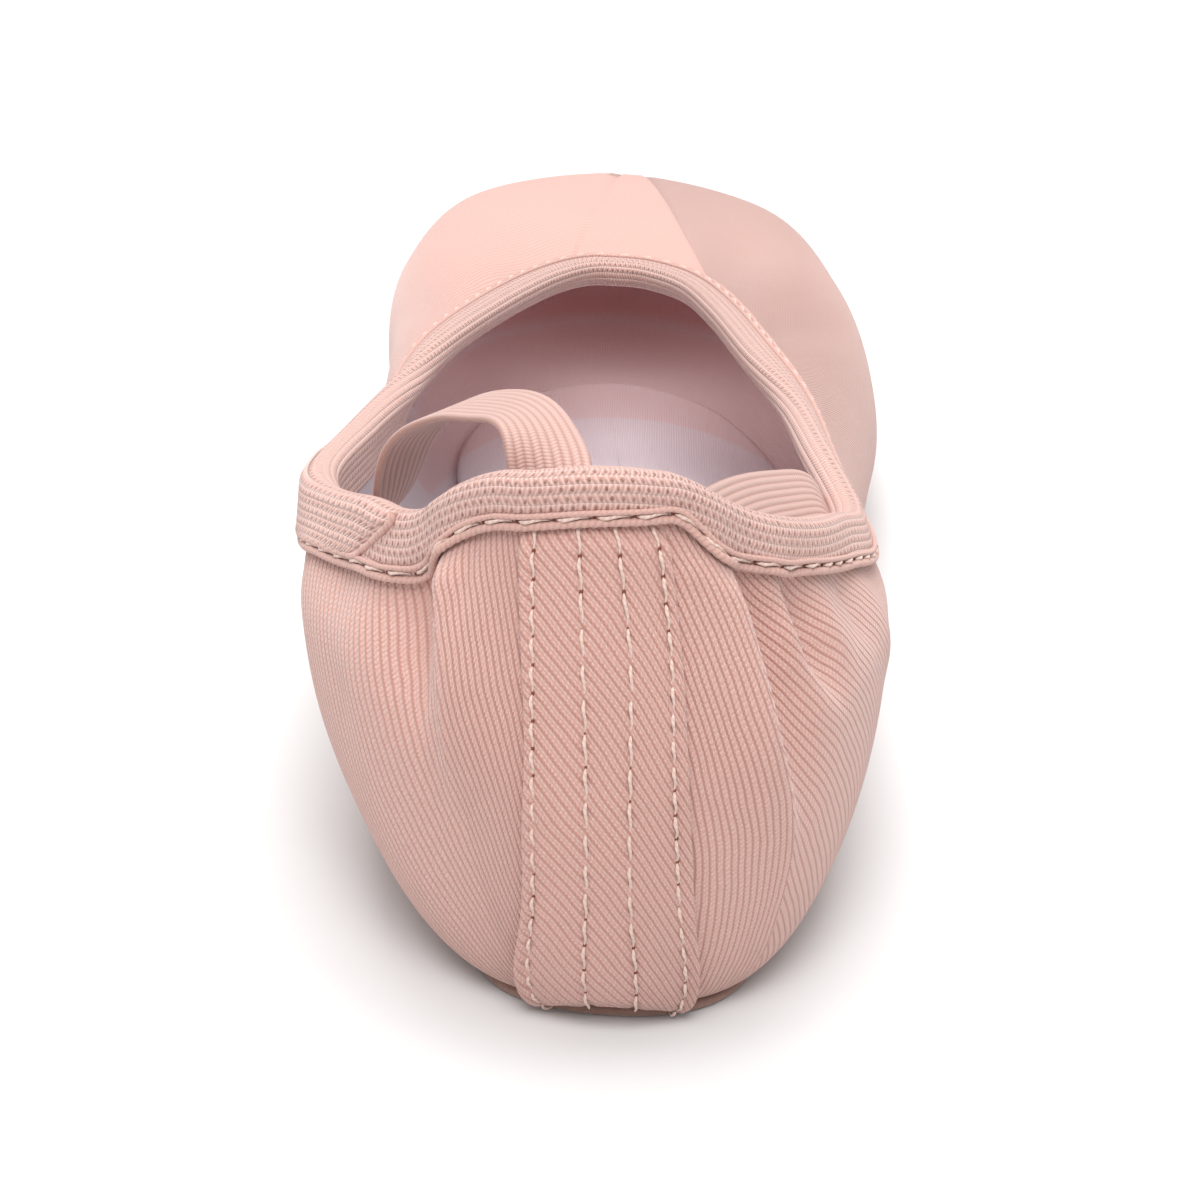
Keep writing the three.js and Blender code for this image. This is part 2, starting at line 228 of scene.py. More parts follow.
def smooth_line(xs, ys, signed):
    """Smooth curve through points, with level ends."""
    slopes = np.gradient(ys, xs)
    k = np.clip(np.searchsorted(xs, signed) - 1, 0, len(xs) - 2)
    width = xs[k + 1] - xs[k]
    t = np.clip((signed - xs[k]) / width, 0, 1)
    h00, h10 = 2 * t**3 - 3 * t**2 + 1, t**3 - 2 * t**2 + t
    h01, h11 = 3 * t**2 - 2 * t**3, t**3 - t**2
    return h00 * ys[k] + h10 * width * slopes[k] + h01 * ys[k + 1] + h11 * width * slopes[k + 1]


def running(steps):
    """The sum of the steps before each place, from 0."""
    return np.concatenate([[0], np.cumsum(steps)])


def lengths_along(line):
    return running(np.linalg.norm(np.diff(line, axis=0), axis=1))


def ramp(start, end, value):
    """Smooth step from 0 at start to 1 at end."""
    t = np.clip((value - start) / (end - start), 0, 1)
    return t * t * (3 - 2 * t)


def unit(vectors):
    """The vectors at length 1."""
    return vectors / np.maximum(np.linalg.norm(vectors, axis=-1, keepdims=True), 1e-9)


class Last:
    """The outside of the upper: a place counts sections, down is millimetres along the wall."""

    GAP, SOLE_THICK, MARGIN, ARCH_RISE, TOE_SPRING = 0.3, 1.3, 4.0, 1.8, 1.5
    ROUNDNESS, UPRIGHT, LEAN, LEAN_START = 0.55, 0.5, 0.085, 2.0
    FINE, STEPS = 64, 500

    def __init__(self, sizes):
        self.length_mm, self.half = sizes.length / MM, sizes.ball_width / MM / 2
        self.heel = sizes.heel_height / MM
        places = np.arange(COUNT * self.FINE) / self.FINE
        sole, wide, top = (self.corner(name, places) for name in ("sole", "wide", "top"))
        swell, reach, lift = (self.column(name, places) for name in ("swell", "reach", "lift"))
        outward = (wide - sole) * (1, 1, 0)
        inner = sole - self.MARGIN * unit(outward)
        inner[:, 2] = self.under(inner[:, 1])
        wide_low, wide_high = wide.copy(), wide.copy()
        wide_low[:, 2] += (sole[:, 2] - wide[:, 2]) * self.UPRIGHT
        wide_high[:, 2] += swell * self.heel
        top_low = top + (wide - top) * reach[:, None]
        top_low[:, 2] = top[:, 2] + lift * self.heel
        line = inner[:, None] + (sole - inner)[:, None] * np.linspace(0, 1, 20)[None, :, None]
        low = self.bezier(sole, sole + self.ROUNDNESS * outward, wide_low, wide)
        high = self.bezier(wide, wide_high, top_low, top)
        lines = np.concatenate([line, low[:, 1:], high[:, 1:]], 1)
        runs = np.linalg.norm(np.diff(lines, axis=1), axis=2)
        runs = np.concatenate([np.zeros((len(places), 1)), np.cumsum(runs, 1)], 1)
        self.heights = runs[:, -1]
        shares = np.linspace(0, 1, self.STEPS)
        self.points = np.stack([
            np.stack([np.interp(shares * run[-1], run, line[:, axis]) for axis in range(3)], -1)
            for run, line in zip(runs, lines)
        ])
        self.points[..., 0] += self.LEAN_START - self.LEAN * self.points[..., 2]
        around = np.roll(self.points, -1, 0) - np.roll(self.points, 1, 0)
        self.normals = unit(np.cross(around, np.gradient(self.points, axis=1)))
        self.rises = unit(self.points[:, -1] - self.points[:, -6])
        self.folds = [
            (height, before, after, self.base(*np.array(points, float).T)[0])
            for height, before, after, points in FOLDS
        ]

    def column(self, name, place):
        """Smooth closed curve through one column of the table."""
        values = SECTIONS[:, SECTION_COLUMNS.index(name)] / 100
        start = np.floor(place).astype(int)
        t = place - start
        a, b, c, d = (values[(start + step) % COUNT] for step in (-1, 0, 1, 2))
        return (2 * b + (c - a) * t + (2 * a - 5 * b + 4 * c - d) * t**2 + (3 * b - a - 3 * c + d) * t**3) / 2

    def corner(self, name, place):
        """The section's point at the sole's edge, the widest place or the top edge."""
        x, y = self.column(name + "_x", place) * self.half, self.column(name + "_y", place) * self.length_mm
        z = self.under(y) if name == "sole" else self.column(name + "_z", place) * self.heel
        return np.stack([x, y, z], -1)

    def sole_height(self, y):
        """Underside of the sole: flat at the heel and the ball, arched between, sprung at the toe."""
        share = np.asarray(y) / self.length_mm
        arch = ramp(0.26, 0.39, share) * (1 - ramp(0.41, 0.54, share))
        return self.ARCH_RISE * arch + self.TOE_SPRING * np.maximum(0, (share - 0.72) / 0.11) ** 2

    def under(self, y):
        return self.sole_height(y) + self.SOLE_THICK + self.GAP

    @staticmethod
    def bezier(a, b, c, d):
        t = np.linspace(0, 1, 200)[None, :, None]
        a, b, c, d = (point[:, None] for point in (a, b, c, d))
        return a * (1 - t) ** 3 + 3 * b * t * (1 - t) ** 2 + 3 * c * t**2 * (1 - t) + d * t**3

    def height(self, place):
        """Length of the wall's line from the top edge to the end of the margin under the foot."""
        row = np.mod(place, COUNT) * self.FINE
        low = np.floor(row).astype(int)
        share = row - low
        count = len(self.heights)
        return self.heights[low % count] * (1 - share) + self.heights[(low + 1) % count] * share

    def look_up(self, table, place, up):
        row = np.mod(place, COUNT) * self.FINE
        low = np.floor(row).astype(int)
        across = (row - low)[..., None]
        step = np.clip(up, 0, 1) * (self.STEPS - 1)
        foot = np.minimum(np.floor(step).astype(int), self.STEPS - 2)
        along = (step - foot)[..., None]
        count = len(self.heights)
        here = table[low % count, foot] * (1 - along) + table[low % count, foot + 1] * along
        there = table[(low + 1) % count, foot] * (1 - along) + table[(low + 1) % count, foot + 1] * along
        return here * (1 - across) + there * across

    def base(self, place, down, out=0.0):
        """Point and outward direction of the plain surface, with the risen top edge."""
        place, down, out = np.broadcast_arrays(*(np.asarray(value, float) for value in (place, down, out)))
        down = down - interpolate(CREST_RISE, place) * (1 - ramp(0, 22, down))
        up = 1 - down / self.height(place)
        normal = unit(self.look_up(self.normals, place, up))
        point = self.look_up(self.points, place, up) + normal * out[..., None]
        row = np.floor(np.mod(place, COUNT) * self.FINE).astype(int) % len(self.heights)
        return point + self.rises[row] * np.maximum(0, -down)[..., None], normal

    def fold(self, point, normal, down):
        """How far the folds push the cloth out or in at these points, less towards the taut top edge."""
        total = np.zeros(point.shape[:-1])
        for height, before, after, line in self.folds:
            best = np.full(total.shape, 1e9)
            side = np.zeros(total.shape)
            fade = np.zeros(total.shape)
            lengths = lengths_along(line)
            for index, (start, end) in enumerate(zip(line[:-1], line[1:])):
                run = end - start
                share = np.clip((point - start) @ run / (run @ run), 0, 1)
                gap = point - start - share[..., None] * run
                distance = np.linalg.norm(gap, axis=-1)
                nearer = distance < best
                best = np.where(nearer, distance, best)
                turn = np.einsum("...i,...i->...", np.cross(np.broadcast_to(run, gap.shape), normal), gap)
                side = np.where(nearer, turn, side)
                along = (lengths[index] + share * np.linalg.norm(run)) / lengths[-1]
                fade = np.where(nearer, 1 - ramp(0.45, 1.0, along), fade)
            width = np.where(side < 0, after, before)
            total += height * fade * np.exp(-((best / width) ** 2))
        return total * (0.08 + 0.92 * ramp(3.0, 8.8, np.asarray(down, float)))

    def at(self, place, down, out=0.0):
        """Point and outward direction of the folded cloth, moved out by a distance."""
        point, normal = self.base(place, down)
        point = point + normal * (self.fold(point, normal, down) + np.asarray(out, float))[..., None]
        return point, normal


def grid_faces(rows, columns, wrap_rows, wrap_columns):
    """Corner numbers of a grid's faces, and the same numbers on the grid before its edges are joined."""
    i, j = np.meshgrid(
        np.arange(rows - 1 + wrap_rows), np.arange(columns - 1 + wrap_columns), indexing="ij")
    corners = [(i, j), (i, j + 1), (i + 1, j + 1), (i + 1, j)]
    joined = np.stack([(a % rows) * columns + b % columns for a, b in corners], -1).reshape(-1, 4)
    spread = np.stack([a * (columns + wrap_columns) + b for a, b in corners], -1).reshape(-1, 4)
    return joined, spread


class Cloth:
    """Collects grids of points with their maps and makes one mesh of them."""

    def __init__(self):
        self.points, self.faces, self.slots, self.maps = [], [], [], {}
        self.total = 0

    def add(self, points, maps, wrap=(False, False), slot=0, flip=False, face_maps=()):
        rows, columns = points.shape[:2]
        joined, spread = grid_faces(rows, columns, *map(int, wrap))
        uvs = {name: values.reshape(-1, 2)[spread] for name, values in maps.items()}
        for mask, values in face_maps:
            chosen = mask.reshape(-1)[:, None, None]
            uvs["Twill"] = np.where(chosen, values.reshape(-1, 2)[spread], uvs["Twill"])
        if flip:
            joined = joined[:, ::-1]
            uvs = {name: values[:, ::-1] for name, values in uvs.items()}
        self.points.append(points.reshape(-1, 3))
        self.faces.append(joined + self.total)
        self.slots.append(np.full(len(joined), slot))
        for name, values in uvs.items():
            self.maps.setdefault(name, []).append(values)
        self.total += rows * columns

    def make(self, name, materials):
        points = (np.concatenate(self.points) + ORIGIN) * MM
        faces = np.concatenate(self.faces)
        mesh = bpy.data.meshes.new(name)
        mesh.vertices.add(len(points))
        mesh.vertices.foreach_set("co", points.astype(np.float32).ravel())
        mesh.loops.add(faces.size)
        mesh.loops.foreach_set("vertex_index", faces.astype(np.int32).ravel())
        mesh.polygons.add(len(faces))
        mesh.polygons.foreach_set("loop_start", np.arange(0, faces.size, 4, dtype=np.int32))
        mesh.polygons.foreach_set("material_index", np.concatenate(self.slots).astype(np.int32))
        mesh.update(calc_edges=True)
        for label, values in self.maps.items():
            layer = mesh.uv_layers.new(name=label)
            layer.uv.foreach_set("vector", np.concatenate(values).astype(np.float32).ravel())
        mesh.polygons.foreach_set("use_smooth", np.ones(len(faces), bool))
        mesh.validate()
        for material in materials:
            mesh.materials.append(material)
        piece = bpy.data.objects.new(name, mesh)
        bpy.context.scene.collection.objects.link(piece)
        return piece


def tube(line, across, radius, sides):
    """Grid of a tube along a line. Across is a direction at right angles, radius(along, angle) its shape."""
    tangent = unit(np.gradient(line, axis=0))
    side = unit(across - tangent * np.einsum("ij,ij->i", across, tangent)[:, None])
    other = np.cross(tangent, side)
    angle = np.arange(sides) / sides * 2 * np.pi
    along = lengths_along(line)
    size = radius(along[:, None], angle[None, :])
    ring = np.cos(angle)[None, :, None] * side[:, None] + np.sin(angle)[None, :, None] * other[:, None]
    return line[:, None] + ring * size[..., None], along


def tube_map(along, sides, radius):
    """Map of a tube, in millimetres along and around it."""
    around = np.arange(sides + 1) / sides * 2 * np.pi * radius
    return np.stack(np.meshgrid(along, around, indexing="ij"), -1)


def twisted(radius, lobe, turn):
    """Shape of a cord of two plies twisted together."""

    def shape(along, angle):
        return radius * (1 + lobe * np.cos(2 * angle + along * turn))

    return shape


def stitch_row(threads, hole_shades, places, downs, out, pitch, size, last, showing=0.9):
    """A row of stitches along a line on the last: each rises from a hole and sinks again before the next, and
    a dark cup of painted shade sits in each hole.
    """
    line, normal = last.at(places, downs, out)
    run = lengths_along(line)
    count = int(run[-1] / pitch)
    for number in range(count):
        share = np.linspace(0, 1, 10)
        start = (number + 0.1) * run[-1] / count
        at = start + share * pitch * showing
        middle = np.stack([np.interp(at, run, line[:, axis]) for axis in range(3)], -1)
        up = unit(np.stack([np.interp(at, run, normal[:, axis]) for axis in range(3)], -1))
        beside = np.cross(unit(np.gradient(middle, axis=0)), up)
        arch = np.clip(np.sin(np.pi * share**0.62), 0, 1)
        middle = middle + up * (size * (1.9 * arch - 1.0))[:, None]
        middle = middle + beside * (size * 0.5 * np.sin(2 * np.pi * share))[:, None]

        def radius(along, angle):
            plump = 0.55 + 0.5 * np.clip(np.sin(np.pi * (along / along[-1]) ** 0.62), 0, 1)
            return size * plump * (1 + 0.15 * np.cos(2 * angle + along * 4))

        grid, along = tube(middle, up, radius, 8)
        threads.add(grid, {"Thread": tube_map(along, 8, size)}, (False, True))
        # A small cup in a painted-shade colour stands for the dark of the needle hole.
        rounds = np.linspace(0, 2 * np.pi, 9)[:-1]
        centre = middle[0] - up[0] * size * 0.1
        forward = unit(middle[1] - middle[0] - up[0] * ((middle[1] - middle[0]) @ up[0]))
        rings = []
        for wide, deep in ((0.15, -0.25), (1.0, -0.05), (1.25, 0.3), (0.9, 0.55), (0.1, 0.6)):
            across = np.cos(rounds)[:, None] * beside[0] + np.sin(rounds)[:, None] * forward * 1.25
            rings.append(centre - forward * size * 0.9 + across * size * wide + up[0] * size * deep)
        hole_shades.add(np.stack(rings), {"Thread": np.zeros((5, 9, 2))}, (False, True), flip=True)


class Value:
    """A socket of a shader that can be used in sums."""

    def __init__(self, shader, socket):
        self.shader, self.socket = shader, socket

    def math(self, operation, *others):
        return self.shader.node("ShaderNodeMath", {"operation": operation}, dict(enumerate((self, *others))))

    def __add__(self, other):
        return self.math("ADD", other)

    __radd__ = __add__

    def __sub__(self, other):
        return self.math("SUBTRACT", other)

    def __rsub__(self, other):
        return self.shader.node("ShaderNodeMath", {"operation": "SUBTRACT"}, {0: other, 1: self})

    def __mul__(self, other):
        return self.math("MULTIPLY", other)

    __rmul__ = __mul__

    def __truediv__(self, other):
        return self.math("DIVIDE", other)

    def __pow__(self, other):
        return self.math("POWER", other)

    def sin(self):
        return self.math("SINE")

    def size(self):
        return self.math("ABSOLUTE")

    def floor(self):
        return self.math("FLOOR")

    def part(self):
        return self.math("FRACT")

    def most(self, other):
        return self.math("MAXIMUM", other)

    def step(self, start, end):
        """Smooth step from 0 at start to 1 at end."""
        inputs = {"Value": self, "From Min": start, "From Max": end}
        return self.shader.node("ShaderNodeMapRange", {"interpolation_type": "SMOOTHSTEP"}, inputs)


class Shader:
    """One material and its nodes."""

    def __init__(self, name, roughness, sheen=0.0, sheen_tint=(1, 1, 1), specular=0.3):
        self.material = bpy.data.materials.new(name)
        self.material.use_nodes = True
        self.tree = self.material.node_tree
        self.surface = self.tree.nodes["Principled BSDF"]
        self.surface.inputs["Roughness"].default_value = roughness
        self.surface.inputs["Sheen Weight"].default_value = sheen
        self.surface.inputs["Sheen Roughness"].default_value = 0.5
        self.surface.inputs["Sheen Tint"].default_value = (*sheen_tint, 1)
        self.surface.inputs["Specular IOR Level"].default_value = specular

    def node(self, kind, settings, inputs, output=0):
        """Adds a node: its settings first, then the values or links of its sockets."""
        node = self.tree.nodes.new(kind)
        for name, value in settings.items():
            setattr(node, name, value)
        for name, value in inputs.items():
            socket = node.inputs[name]
            if isinstance(value, Value):
                self.tree.links.new(value.socket, socket)
            elif socket.type == "RGBA":
                socket.default_value = (*tuple(value)[:3], 1)
            else:
                socket.default_value = value
        return Value(self, node.outputs[output])

    def map(self, name):
        """The two numbers of a UV map, in millimetres on the cloth."""
        uv = self.node("ShaderNodeUVMap", {"uv_map": name}, {})
        split = {"Vector": uv}
        first = self.node("ShaderNodeSeparateXYZ", {}, split, "X")
        return first, Value(self, first.socket.node.outputs["Y"]), uv

    def place(self, axis):
        """Metres along one axis of the row's frame."""
        where = self.node("ShaderNodeTexCoord", {}, {}, "Object")
        return self.node("ShaderNodeSeparateXYZ", {}, {"Vector": where}, axis)

    def noise(self, scale, detail=2.0, vector=None, roughness=0.5):
        where = vector or self.node("ShaderNodeTexCoord", {}, {}, "Object")
        inputs = {"Vector": where, "Scale": scale, "Detail": detail, "Roughness": roughness}
        return self.node("ShaderNodeTexNoise", {}, inputs, "Fac")

    def mix(self, factor, first, second):
        settings = {"data_type": "RGBA", "blend_type": "MIX", "clamp_factor": True}
        return self.node("ShaderNodeMix", settings, {0: factor, 6: first, 7: second}, 2)

    def colour(self, value):
        self.tree.links.new(value.socket, self.surface.inputs["Base Color"])

    def bump(self, height, depth):
        """Bump of a height from 0 to 1, its depth in millimetres."""
        inputs = {"Height": height, "Distance": depth * MM, "Strength": 1.0}
        normal = self.node("ShaderNodeBump", {}, inputs)
        self.tree.links.new(normal.socket, self.surface.inputs["Normal"])


def tinted(colour, red, green, blue):
    return (colour[0] * red, colour[1] * green, colour[2] * blue)


def canvas_material(name, colour, rib, split):
    """Twill canvas: fine ribs with painted highlights on their slanted dashes and painted shade in the dotted
    furrow between them, softer towards the toe.
    """
    shader = Shader(name, 0.72, sheen=0.32, sheen_tint=(1.0, 0.95, 0.94), specular=0.3)
    u, v, uv = shader.map("Twill")
    wander = shader.noise(0.11, 2.0, uv)
    u = u + wander * 0.9
    uneven = shader.noise(1.3, 2.0, uv)
    phase = u * (1 / rib)
    whole = (phase * math.pi).sin().size() ** 0.6
    halved = (phase * (2 * math.pi)).sin().size() ** 0.7
    ridge = whole * (1 - split) + halved * whole * split
    twist = (v * (1 / 0.62) + phase * 0.9 + uneven * 0.8) * (2 * math.pi)
    dash = (twist.sin() * 0.5 + 0.5) * ridge * ridge
    pit = ((v * (1 / 0.5) + phase.floor() * 0.5) * (2 * math.pi)).sin() * 0.5 + 0.5
    beside = (phase * (2 * math.pi) + 1.2).sin() * 0.5 + 0.5
    pit = pit * pit * beside * beside
    fuzz = shader.noise(2600.0, 3.0)
    crisp = 1 - shader.place("Y").step(-0.02, 0.06) * 0.7
    height = (ridge * 0.5 + dash * 0.35 - pit * 0.25) * crisp + fuzz * 0.16
    shader.bump(height, 0.22)
    large = shader.noise(26.0, 3.0)
    base = shader.mix(large, tinted(colour, 0.97, 0.95, 0.94), tinted(colour, 1.04, 1.05, 1.05))
    # Painted shade: the furrows between the ribs are darkened.
    base = shader.mix((1 - ridge) * crisp * 0.7, base, tinted(colour, 0.82, 0.60, 0.54))
    # Painted shade: the dotted pits in the furrows are darkened.
    base = shader.mix(pit * crisp * 0.6, base, tinted(colour, 0.74, 0.50, 0.44))
    # Painted highlight: the slanted dashes on the ribs are lightened into glints.
    base = shader.mix(dash * dash * uneven * crisp * 1.7, base, tinted(colour, 1.28, 1.55, 1.6))
    shader.colour(base)
    return shader.material


def tape_material(name, colour):
    """Knitted tape: small holes between loops on its face, slanted loops on the crest, ribs inside; painted
    highlights on the loops and smooth ribs, painted shade in the holes and between loops and ribs.
    """
    shader = Shader(name, 0.68, sheen=0.25, sheen_tint=(1.0, 0.95, 0.93), specular=0.35)
    u, v, uv = shader.map("Knit")
    crest, _, _ = shader.map("Roll")
    uneven = shader.noise(1.1, 2.0, uv)
    course = crest * (1 / 0.95) + 0.15
    row = course.floor()
    inside = course.part() - 0.5
    along = u + uneven * 0.3
    cell = (along * (1 / 0.95) + row * 0.5).part() - 0.5
    face = v.step(1.5, 1.9) * crest.step(0.5, 1.3)
    reach = cell * cell * 34 + inside * inside * 12
    hole = (1 - reach.step(0.25, 1.0)) * (uneven * 1.5 - 0.1) * (face * 0.9 + 0.1)
    rib = inside * inside * 4
    band = (row * 0.5).part() * 2
    slope = band * 2 - 1
    strand = ((along * (1 / 0.475) + inside * slope * 0.8) * (2 * math.pi)).sin() * 0.5 + 0.5
    # Smooth ribs between some rows: raised in the bump, and lit by the painted highlight below.
    smooth = inside.size().step(0.3, 0.5) * band
    strand = strand * (1 - smooth * 0.8) + smooth * 0.8
    fuzz = shader.noise(2400.0, 2.0)
    height = rib * 0.5 + strand * 0.42 + fuzz * 0.12 - hole * 0.8
    shader.bump(height, 0.3)
    large = shader.noise(30.0, 2.0)
    base = shader.mix(large, tinted(colour, 0.97, 0.95, 0.95), tinted(colour, 1.03, 1.04, 1.04))
    # Painted shade between the loops and between the ribs.
    base = shader.mix((1 - strand) * 0.6, base, tinted(colour, 0.80, 0.62, 0.57))
    base = shader.mix((1 - rib) * 0.35, base, tinted(colour, 0.84, 0.68, 0.64))
    # Painted highlight on the loops and the smooth ribs.
    base = shader.mix(strand * (rib * 0.6 + 0.4) * 0.8, base, tinted(colour, 1.14, 1.32, 1.36))
    # Painted shade in the knit's holes.
    base = shader.mix(hole * 0.95, base, tinted(colour, 0.46, 0.28, 0.24))
    shader.colour(base)
    return shader.material


def cord_material(name, colour):
    """Twisted thread or cord, with its plies as a slanting bump and painted shade between them."""
    shader = Shader(name, 0.6, sheen=0.25, sheen_tint=(1.0, 0.9, 0.87), specular=0.35)
    u, v, _ = shader.map("Thread")
    ply = ((u * 1.5 + v * 0.8) * math.pi).sin().size() ** 0.6
    fibre = ((u * 4.5 + v * 5.0) * math.pi).sin().size()
    shader.bump(ply * 0.6 + fibre * 0.3, 0.1)
    # Painted shade between the plies.
    base = shader.mix((1 - ply) * 0.7, colour, tinted(colour, 0.80, 0.66, 0.62))
    shader.colour(base)
    return shader.material


def needle_hole_shade(colours):
    """Painted shade: the dark of a needle hole."""

    def make():
        shader = Shader("needle_hole_shade", 0.95, specular=0.05)
        shader.surface.inputs["Base Color"].default_value = (*tinted(colours.canvas, 0.34, 0.2, 0.16), 1)
        return shader.material

    return shared("needle_hole_shade", make)


def elastic_material(name, colour):
    """Ribbed elastic: slanted weft between lengthwise ribs, with painted shade between the ribs and painted
    highlights on the weft over them.
    """
    shader = Shader(name, 0.55, sheen=0.3, sheen_tint=(1.0, 0.9, 0.86), specular=0.4)
    u, v, _ = shader.map("Band")
    rib = (u * (1 / 0.94) * math.pi).sin().size() ** 0.7
    side = ((u * (1 / 0.94)).floor() * 0.5).part() * 4 - 1
    weft = ((v * (1 / 0.4) + side * u * 0.55) * math.pi).sin().size() ** 0.7
    shader.bump(rib * 0.6 + weft * 0.3, 0.14)
    # Painted shade between the ribs.
    base = shader.mix((1 - rib) * 0.7, colour, tinted(colour, 0.74, 0.56, 0.50))
    # Painted highlight on the weft where it crosses the ribs.
    base = shader.mix(weft * rib * 0.35, base, tinted(colour, 1.15, 1.3, 1.3))
    shader.colour(base)
    return shader.material


def lining_material(name, colour):
    """Plain cotton lining, with a fine weave, a pink cast towards the toe and painted shade along a side
    seam.
    """
    shader = Shader(name, 0.9, sheen=0.15, specular=0.2)
    u, v, _ = shader.map("Weave")
    warp = (u * (1 / 0.42) * math.pi).sin().size()
    weft = (v * (1 / 0.42) * math.pi).sin().size()
    soft = shader.noise(60.0, 3.0)
    shader.bump(warp * 0.35 + weft * 0.35 + soft * 0.5, 0.12)
    base = shader.mix(soft, tinted(colour, 0.95, 0.94, 0.95), tinted(colour, 1.05, 1.05, 1.05))
    aside, ahead, above = (shader.place(axis) for axis in "XYZ")
    cap = ahead.step(0.02, 0.05) * above.step(0.008, 0.026)
    arc = (aside * 34.0) * (aside * 34.0) + ((ahead - 0.02) * 24.0) * ((ahead - 0.02) * 24.0)
    front = arc.step(1.0, 1.08) * ahead.step(0.02, 0.021) * (1 - above.step(0.0072, 0.009)) * 0.35
    wall = above.step(0.008, 0.010)
    beyond = ahead.step(0.0500, 0.0508) * wall * 0.5
    base = shader.mix(cap.most(front).most(beyond), base, tinted(colour, 1.0, 0.62, 0.54))
    # Painted shade: a dark line beside the lining's side seam.
    seam_shade = (1 - (ahead - 0.0515).size().step(0.0003, 0.0015)) * wall
    base = shader.mix(seam_shade * 0.5, base, tinted(colour, 0.62, 0.46, 0.46))
    hem = (1 - (ahead - 0.0482).size().step(0.0008, 0.0016)) * wall
    base = shader.mix(hem * 0.6, base, tinted(colour, 1.16, 1.16, 1.14))
    shader.colour(base)
    return shader.material


def suede_material(name, colour):
    """Suede with its nap brushed in patches."""
    shader = Shader(name, 0.95, sheen=0.4, sheen_tint=(1.0, 0.85, 0.78), specular=0.15)
    nap = shader.noise(420.0, 6.0, roughness=0.75)
    patch = shader.noise(45.0, 4.0)
    shader.bump(nap, 0.35)
    base = shader.mix(patch.step(0.35, 0.7), tinted(colour, 0.82, 0.8, 0.8), tinted(colour, 1.12, 1.12, 1.1))
    base = shader.mix(nap.step(0.35, 0.75) * 0.5, base, tinted(colour, 1.3, 1.3, 1.3))
    shader.colour(base)
    return shader.material


def settled(piece, slot, *nodes):
    """Lets a piece ride on the shoe and stand for its solids."""
    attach(piece, BODY)
    if nodes:
        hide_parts(*nodes)


def finishes(context):
    return context.scene.shoe_sizes, context.scene.shoe_colours


def shared(name, make):
    """A material made once and used by several pieces."""
    return bpy.data.materials.get(name) or make()


def sewing_thread(colours):
    return shared("thread", lambda: cord_material("thread", colours.thread))


def cotton_lining(colours):
    return shared("cotton_lining", lambda: lining_material("cotton_lining", colours.lining))


def near_and_far(start, dense_start, dense_end, end, dense, coarse):
    """Places from start to end, close together between the dense limits."""
    parts = [
        np.arange(start, dense_start, coarse),
        np.arange(dense_start, dense_end, dense),
        np.arange(dense_end, end - 1e-9, coarse),
    ]
    return np.concatenate(parts)


class ToePanel:
    """The long triangle let into the top of the toe: its seams run together from the throat to the toe."""

    START, END, HALF, POINT = 163.0, 226.0, 10.35, 0.9
    ASIDE, DRIFT, DRIFT_LENGTH = 1.15, 1.05, 47
    PLACES = (7.6, 12.4)

    def __init__(self, last):
        self.last = last

    def centre(self, y):
        return self.ASIDE - self.DRIFT * (y - self.START) / self.DRIFT_LENGTH

    def half_width(self, y):
        share = (y - self.START) / (self.END - self.START)
        return self.POINT + (self.HALF - self.POINT) * np.maximum(0, 1 - share)

    def edges(self, share):
        """The two places where each row, at a share of the wall's height, crosses the seams."""
        places = np.linspace(*self.PLACES, 960)
        grid, rows = np.meshgrid(places, share, indexing="ij")
        point, _ = self.last.base(grid, rows * self.last.height(grid))
        side = (point[..., 0] - self.centre(point[..., 1])) / self.half_width(point[..., 1])
        outer = np.array([np.interp(-1, -side[:, k], places) for k in range(len(share))])
        inner = np.array([np.interp(1, -side[:, k], places) for k in range(len(share))])
        return outer, inner


